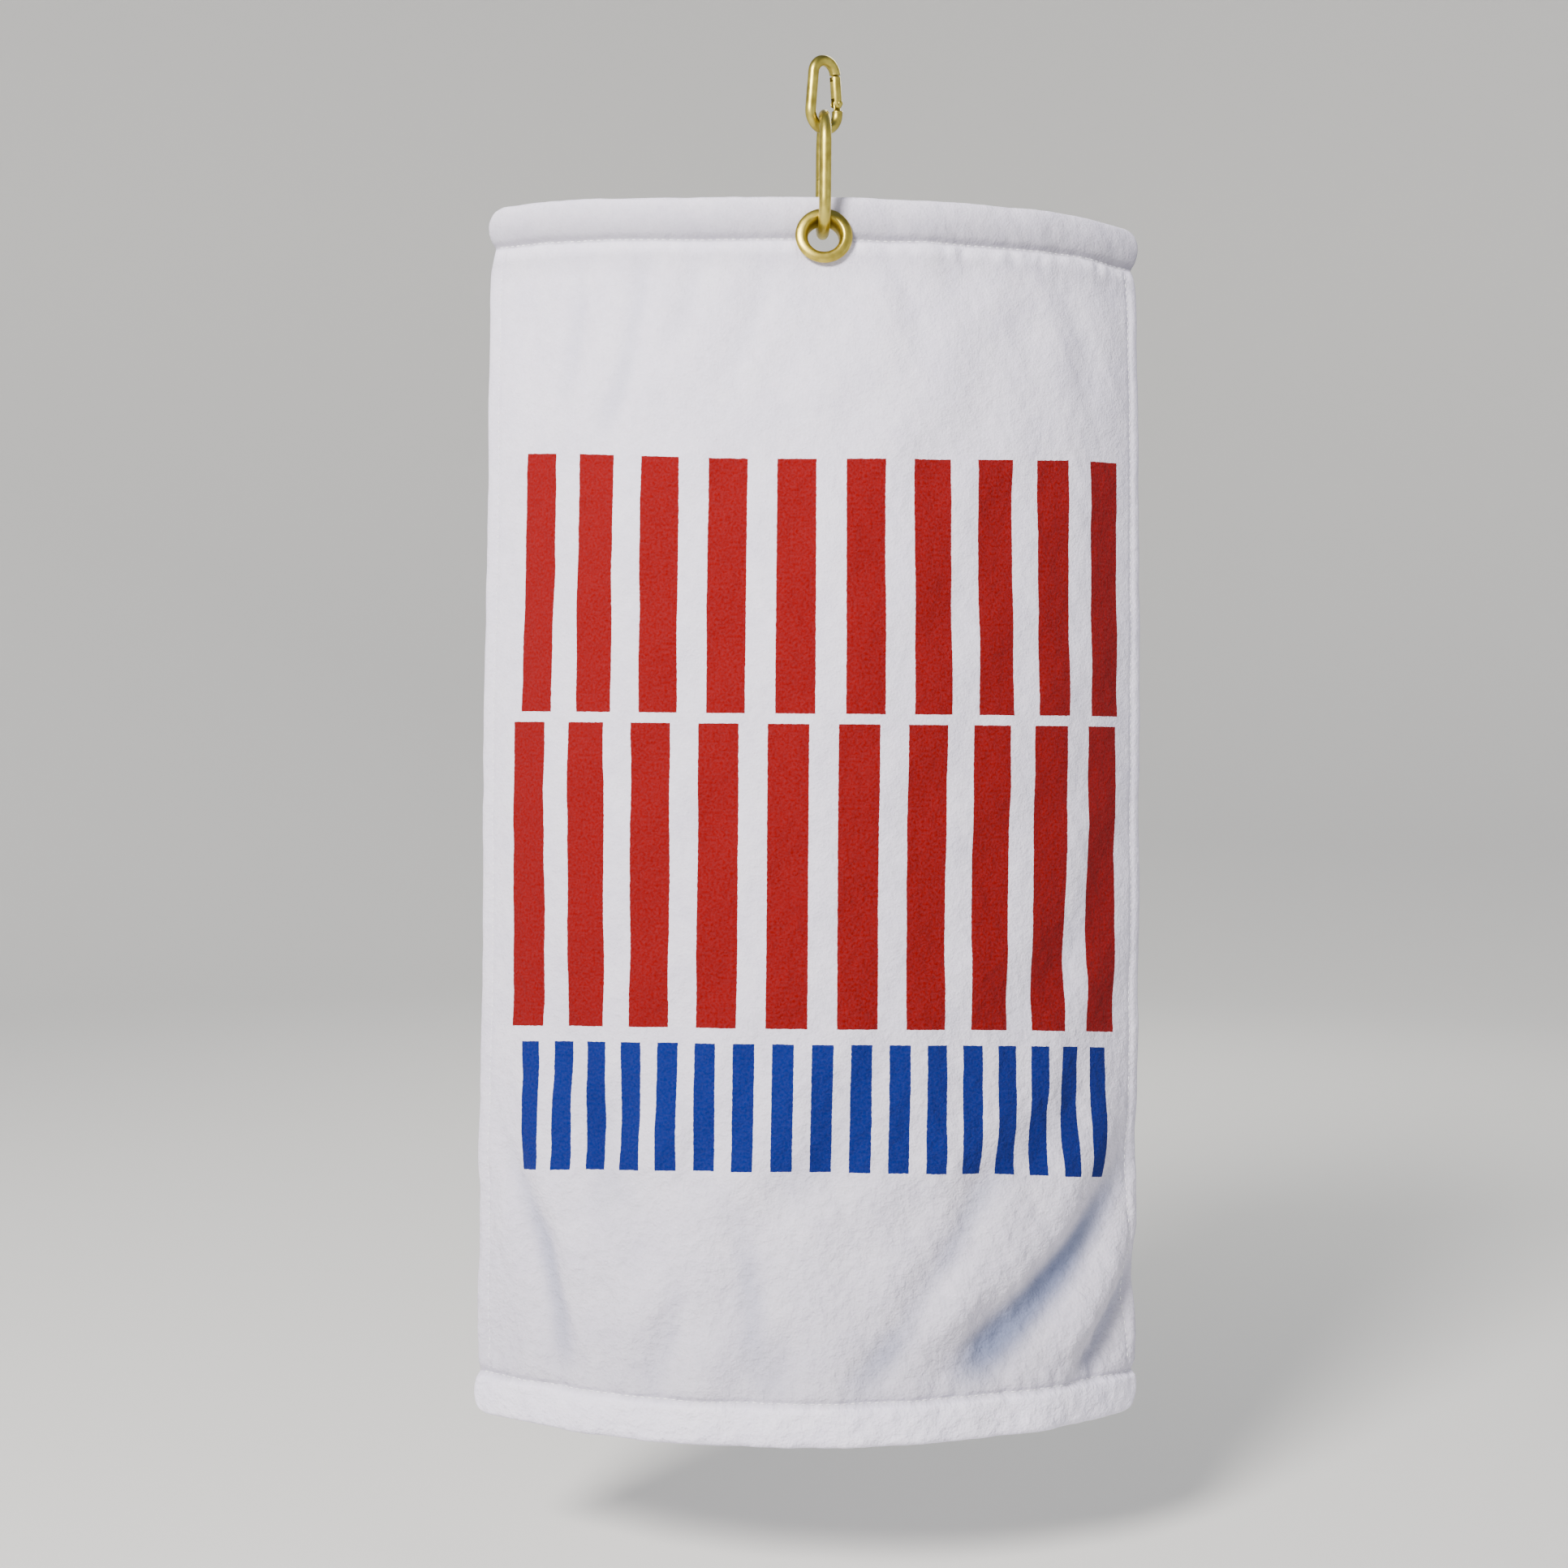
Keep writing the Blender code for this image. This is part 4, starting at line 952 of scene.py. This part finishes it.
def build_gate():
    """A round bar with a ball foot and an eased upper end, slotted over both tongues."""
    half = GATE_DIAMETER / 2
    foot = np.linspace(0, math.pi / 2, 12)[1:]
    ease = np.linspace(0, math.pi / 2, 5)
    places = np.concatenate([rivet_at - half * np.cos(foot), gate_end_at - GATE_EDGE * (1 - np.sin(ease))])
    size = np.concatenate([GATE_DIAMETER * np.sin(foot), GATE_DIAMETER - 2 * GATE_EDGE * (1 - np.cos(ease))])
    gate = tube("snap_gate_bar", *limb_rings(places, size, size), segments=40)
    lower_to = rivet_at + TONGUE_WIDTH / 2 + SHOULDER_GAP
    upper_from = nose_at - NOSE_TONGUE - SHOULDER_GAP
    for start, end in ((0.0, lower_to), (upper_from, gate_end_at + half)):
        centre = LIMB_FOOT + LIMB_UP * (start + end) / 2
        sides = (LIMB_OUT * SLOT_CUT, SNAP_NORMAL * SLOT_WIDTH, LIMB_UP * (end - start))
        slot = cutter("slot", centre, sides)
        boolean = gate.modifiers.new("slot", "BOOLEAN")
        boolean.operation = "DIFFERENCE"
        boolean.solver = "EXACT"
        boolean.object = slot
        evaluated = gate.evaluated_get(bpy.context.evaluated_depsgraph_get())
        cut_mesh = bpy.data.meshes.new_from_object(evaluated)
        gate.modifiers.clear()
        gate.data = cut_mesh
        bpy.data.objects.remove(slot)
    gate.data.shade_smooth()
    gate.data.set_sharp_from_angle(angle=math.radians(35))
    return gate


def build_rivet():
    """A set rivet: a plain shank with a low dome on each side, a quarter ellipse in section."""
    dome = np.linspace(0, math.pi / 2, 8)[:-1]
    height = RIVET_SEAT + DOME_SLOPE + DOME_HEIGHT * np.sin(dome)
    radius = DOME_RADIUS * np.cos(dome)
    at = np.concatenate([-height[::-1], (-RIVET_SEAT, RIVET_SEAT), height])
    size = np.concatenate([radius[::-1], (RIVET_SHANK, RIVET_SHANK), radius])
    centre = RIVET + SNAP_NORMAL * at[:, None]
    out, along = np.tile(LIMB_OUT, (len(at), 1)), np.tile(LIMB_UP, (len(at), 1))
    return tube("gate_rivet_set", centre, out, along, size, size, segments=32)


snap_body, snap_gate, rivet = build_snap_body(), build_gate(), build_rivet()
for piece, cad_node, body in (
    (snap_body, "snap_body", "snap_hook"),
    (snap_gate, "snap_gate", "gate"),
    (rivet, "gate_rivet", "snap_hook"),
):
    piece.data.materials.clear()
    piece.data.materials.append(WIRE_BRASS)
    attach(piece, body)
    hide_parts(cad_node)


def steel_material():
    """Hard-drawn spring steel, bright from the die, with a fine mottle in its colour and its gloss."""
    material, tree, shader = new_material("bright_drawn_spring_steel")
    place = node(tree, "TexCoord").outputs["Object"]
    mottle = node(tree, "TexNoise", Vector=place, Scale=per_metre(0.15), Detail=2.0).outputs["Fac"]
    colour = node(
        tree, "Mix", {"data_type": "RGBA"}, i0=mottle, i6=linear("#8E9094"), i7=linear("#B4B6BA")
    )
    tree.links.new(colour.outputs[2], shader.inputs["Base Color"])
    rough = node(tree, "Math", {"operation": "MULTIPLY_ADD"}, i0=mottle, i1=0.2, i2=0.2)
    tree.links.new(rough.outputs[0], shader.inputs["Roughness"])
    shader.inputs["Metallic"].default_value = 1.0
    return material


STEEL = steel_material()
for cad_node in ("gate_spring", "spring_plunger"):
    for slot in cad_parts[cad_node].material_slots:
        slot.material = STEEL

# ---------------------------------------------------------------------------------------------
# Studio: a pale floor that sweeps up all round, a soft key from the upper left front, a weak cooler
# fill from the right, a rim light from behind and above, and the camera.
# ---------------------------------------------------------------------------------------------

FLOOR_DROP = 0.060  # below the towel's lowest edge
FLOOR_RADIUS = 1.6
SWEEP_RADIUS = 0.9  # of the curve from the floor to the wall
WALL_TOP = 2.6
STAGE_SIDES = 72
low_corner, high_corner = (Vector(corner) for corner in CAD_BOX)
floor_z = low_corner.z - FLOOR_DROP


def build_stage():
    """A flat disc that rises by a quarter circle to an upright wall."""
    flat = np.linspace(0.01, FLOOR_RADIUS, 12)
    rise = np.linspace(0, math.pi / 2, 16)[1:]
    radii = [*flat, *(FLOOR_RADIUS + SWEEP_RADIUS * np.sin(rise)), FLOOR_RADIUS + SWEEP_RADIUS]
    heights = [*(0 * flat), *(SWEEP_RADIUS * (1 - np.cos(rise))), WALL_TOP]
    radii, heights = np.array(radii)[:, None], np.array(heights)[:, None]
    angle = 2 * math.pi * np.arange(STAGE_SIDES) / STAGE_SIDES
    across, along = radii * np.cos(angle), radii * np.sin(angle)
    points = np.stack([across, along, heights + 0 * angle + floor_z], -1)
    number = np.arange(points.shape[0] * STAGE_SIDES).reshape(-1, STAGE_SIDES)
    other = np.roll(number, -1, 1)
    faces = np.stack([number[:-1], number[1:], other[1:], other[:-1]], -1).reshape(-1, 4).tolist()
    faces.append(number[0].tolist())
    return add_mesh("studio_sweep", points.reshape(-1, 3), faces)


stage = build_stage()
stage_material, _, stage_shader = new_material("matt_studio_paper")
stage_shader.inputs["Base Color"].default_value = linear("#D9D9D6")
stage_shader.inputs["Roughness"].default_value = 0.9
stage.data.materials.append(stage_material)


def area_light(name, place, target, size, power, colour):
    """A disc of light of this width in metres and power in watts, aimed at the target."""
    light = bpy.data.lights.new(name, "AREA")
    light.shape = "DISK"
    light.size = size
    light.energy = power
    light.color = linear(colour)[:3]
    lamp = bpy.data.objects.new(name, light)
    lamp.location = place
    lamp.rotation_euler = (Vector(target) - Vector(place)).to_track_quat("-Z", "Y").to_euler()
    lamp.visible_camera = False
    bpy.context.scene.collection.objects.link(lamp)


middle = (low_corner + high_corner) / 2
area_light("key", middle + Vector((-0.88, -1.40, 1.05)), middle, size=0.60, power=92, colour="#FFFAF6")
area_light("fill", middle + Vector((1.3, -0.9, 0.15)), middle, size=0.7, power=1.5, colour="#C8D8FF")
area_light("rim", middle + Vector((0.5, 1.2, 0.9)), middle, size=0.8, power=14, colour="#FFFCF6")
world = bpy.data.worlds.new("studio_air")
world.use_nodes = True
world.node_tree.nodes["Background"].inputs["Color"].default_value = linear("#C4D4F8")
world.node_tree.nodes["Background"].inputs["Strength"].default_value = 0.30
bpy.context.scene.world = world

CAMERA_AZIMUTH = math.radians(-3.48)  # to the towel's left
CAMERA_DISTANCE = 0.917
CAMERA_HEIGHT = -0.2128
CAMERA_PITCH = math.radians(-3.12)
CAMERA_TURN = math.radians(0.79)  # of its aim, off the hook's upright axis
CAMERA_ROLL = math.radians(0.46)
SENSOR_MM = 36.0
LENS_MM = 56.8
camera_data = bpy.data.cameras.new("camera")
camera_data.sensor_width = SENSOR_MM
camera_data.lens = LENS_MM
camera = bpy.data.objects.new("camera", camera_data)
level_turn = Matrix.Rotation(CAMERA_AZIMUTH + CAMERA_TURN, 3, "Z")
upright = Matrix.Rotation(math.pi / 2 + CAMERA_PITCH, 3, "X")
camera.rotation_euler = (level_turn @ upright @ Matrix.Rotation(CAMERA_ROLL, 3, "Z")).to_euler()
camera.location = (
    CAMERA_DISTANCE * math.sin(CAMERA_AZIMUTH), -CAMERA_DISTANCE * math.cos(CAMERA_AZIMUTH), CAMERA_HEIGHT,
)
bpy.context.scene.collection.objects.link(camera)
bpy.context.scene.camera = camera
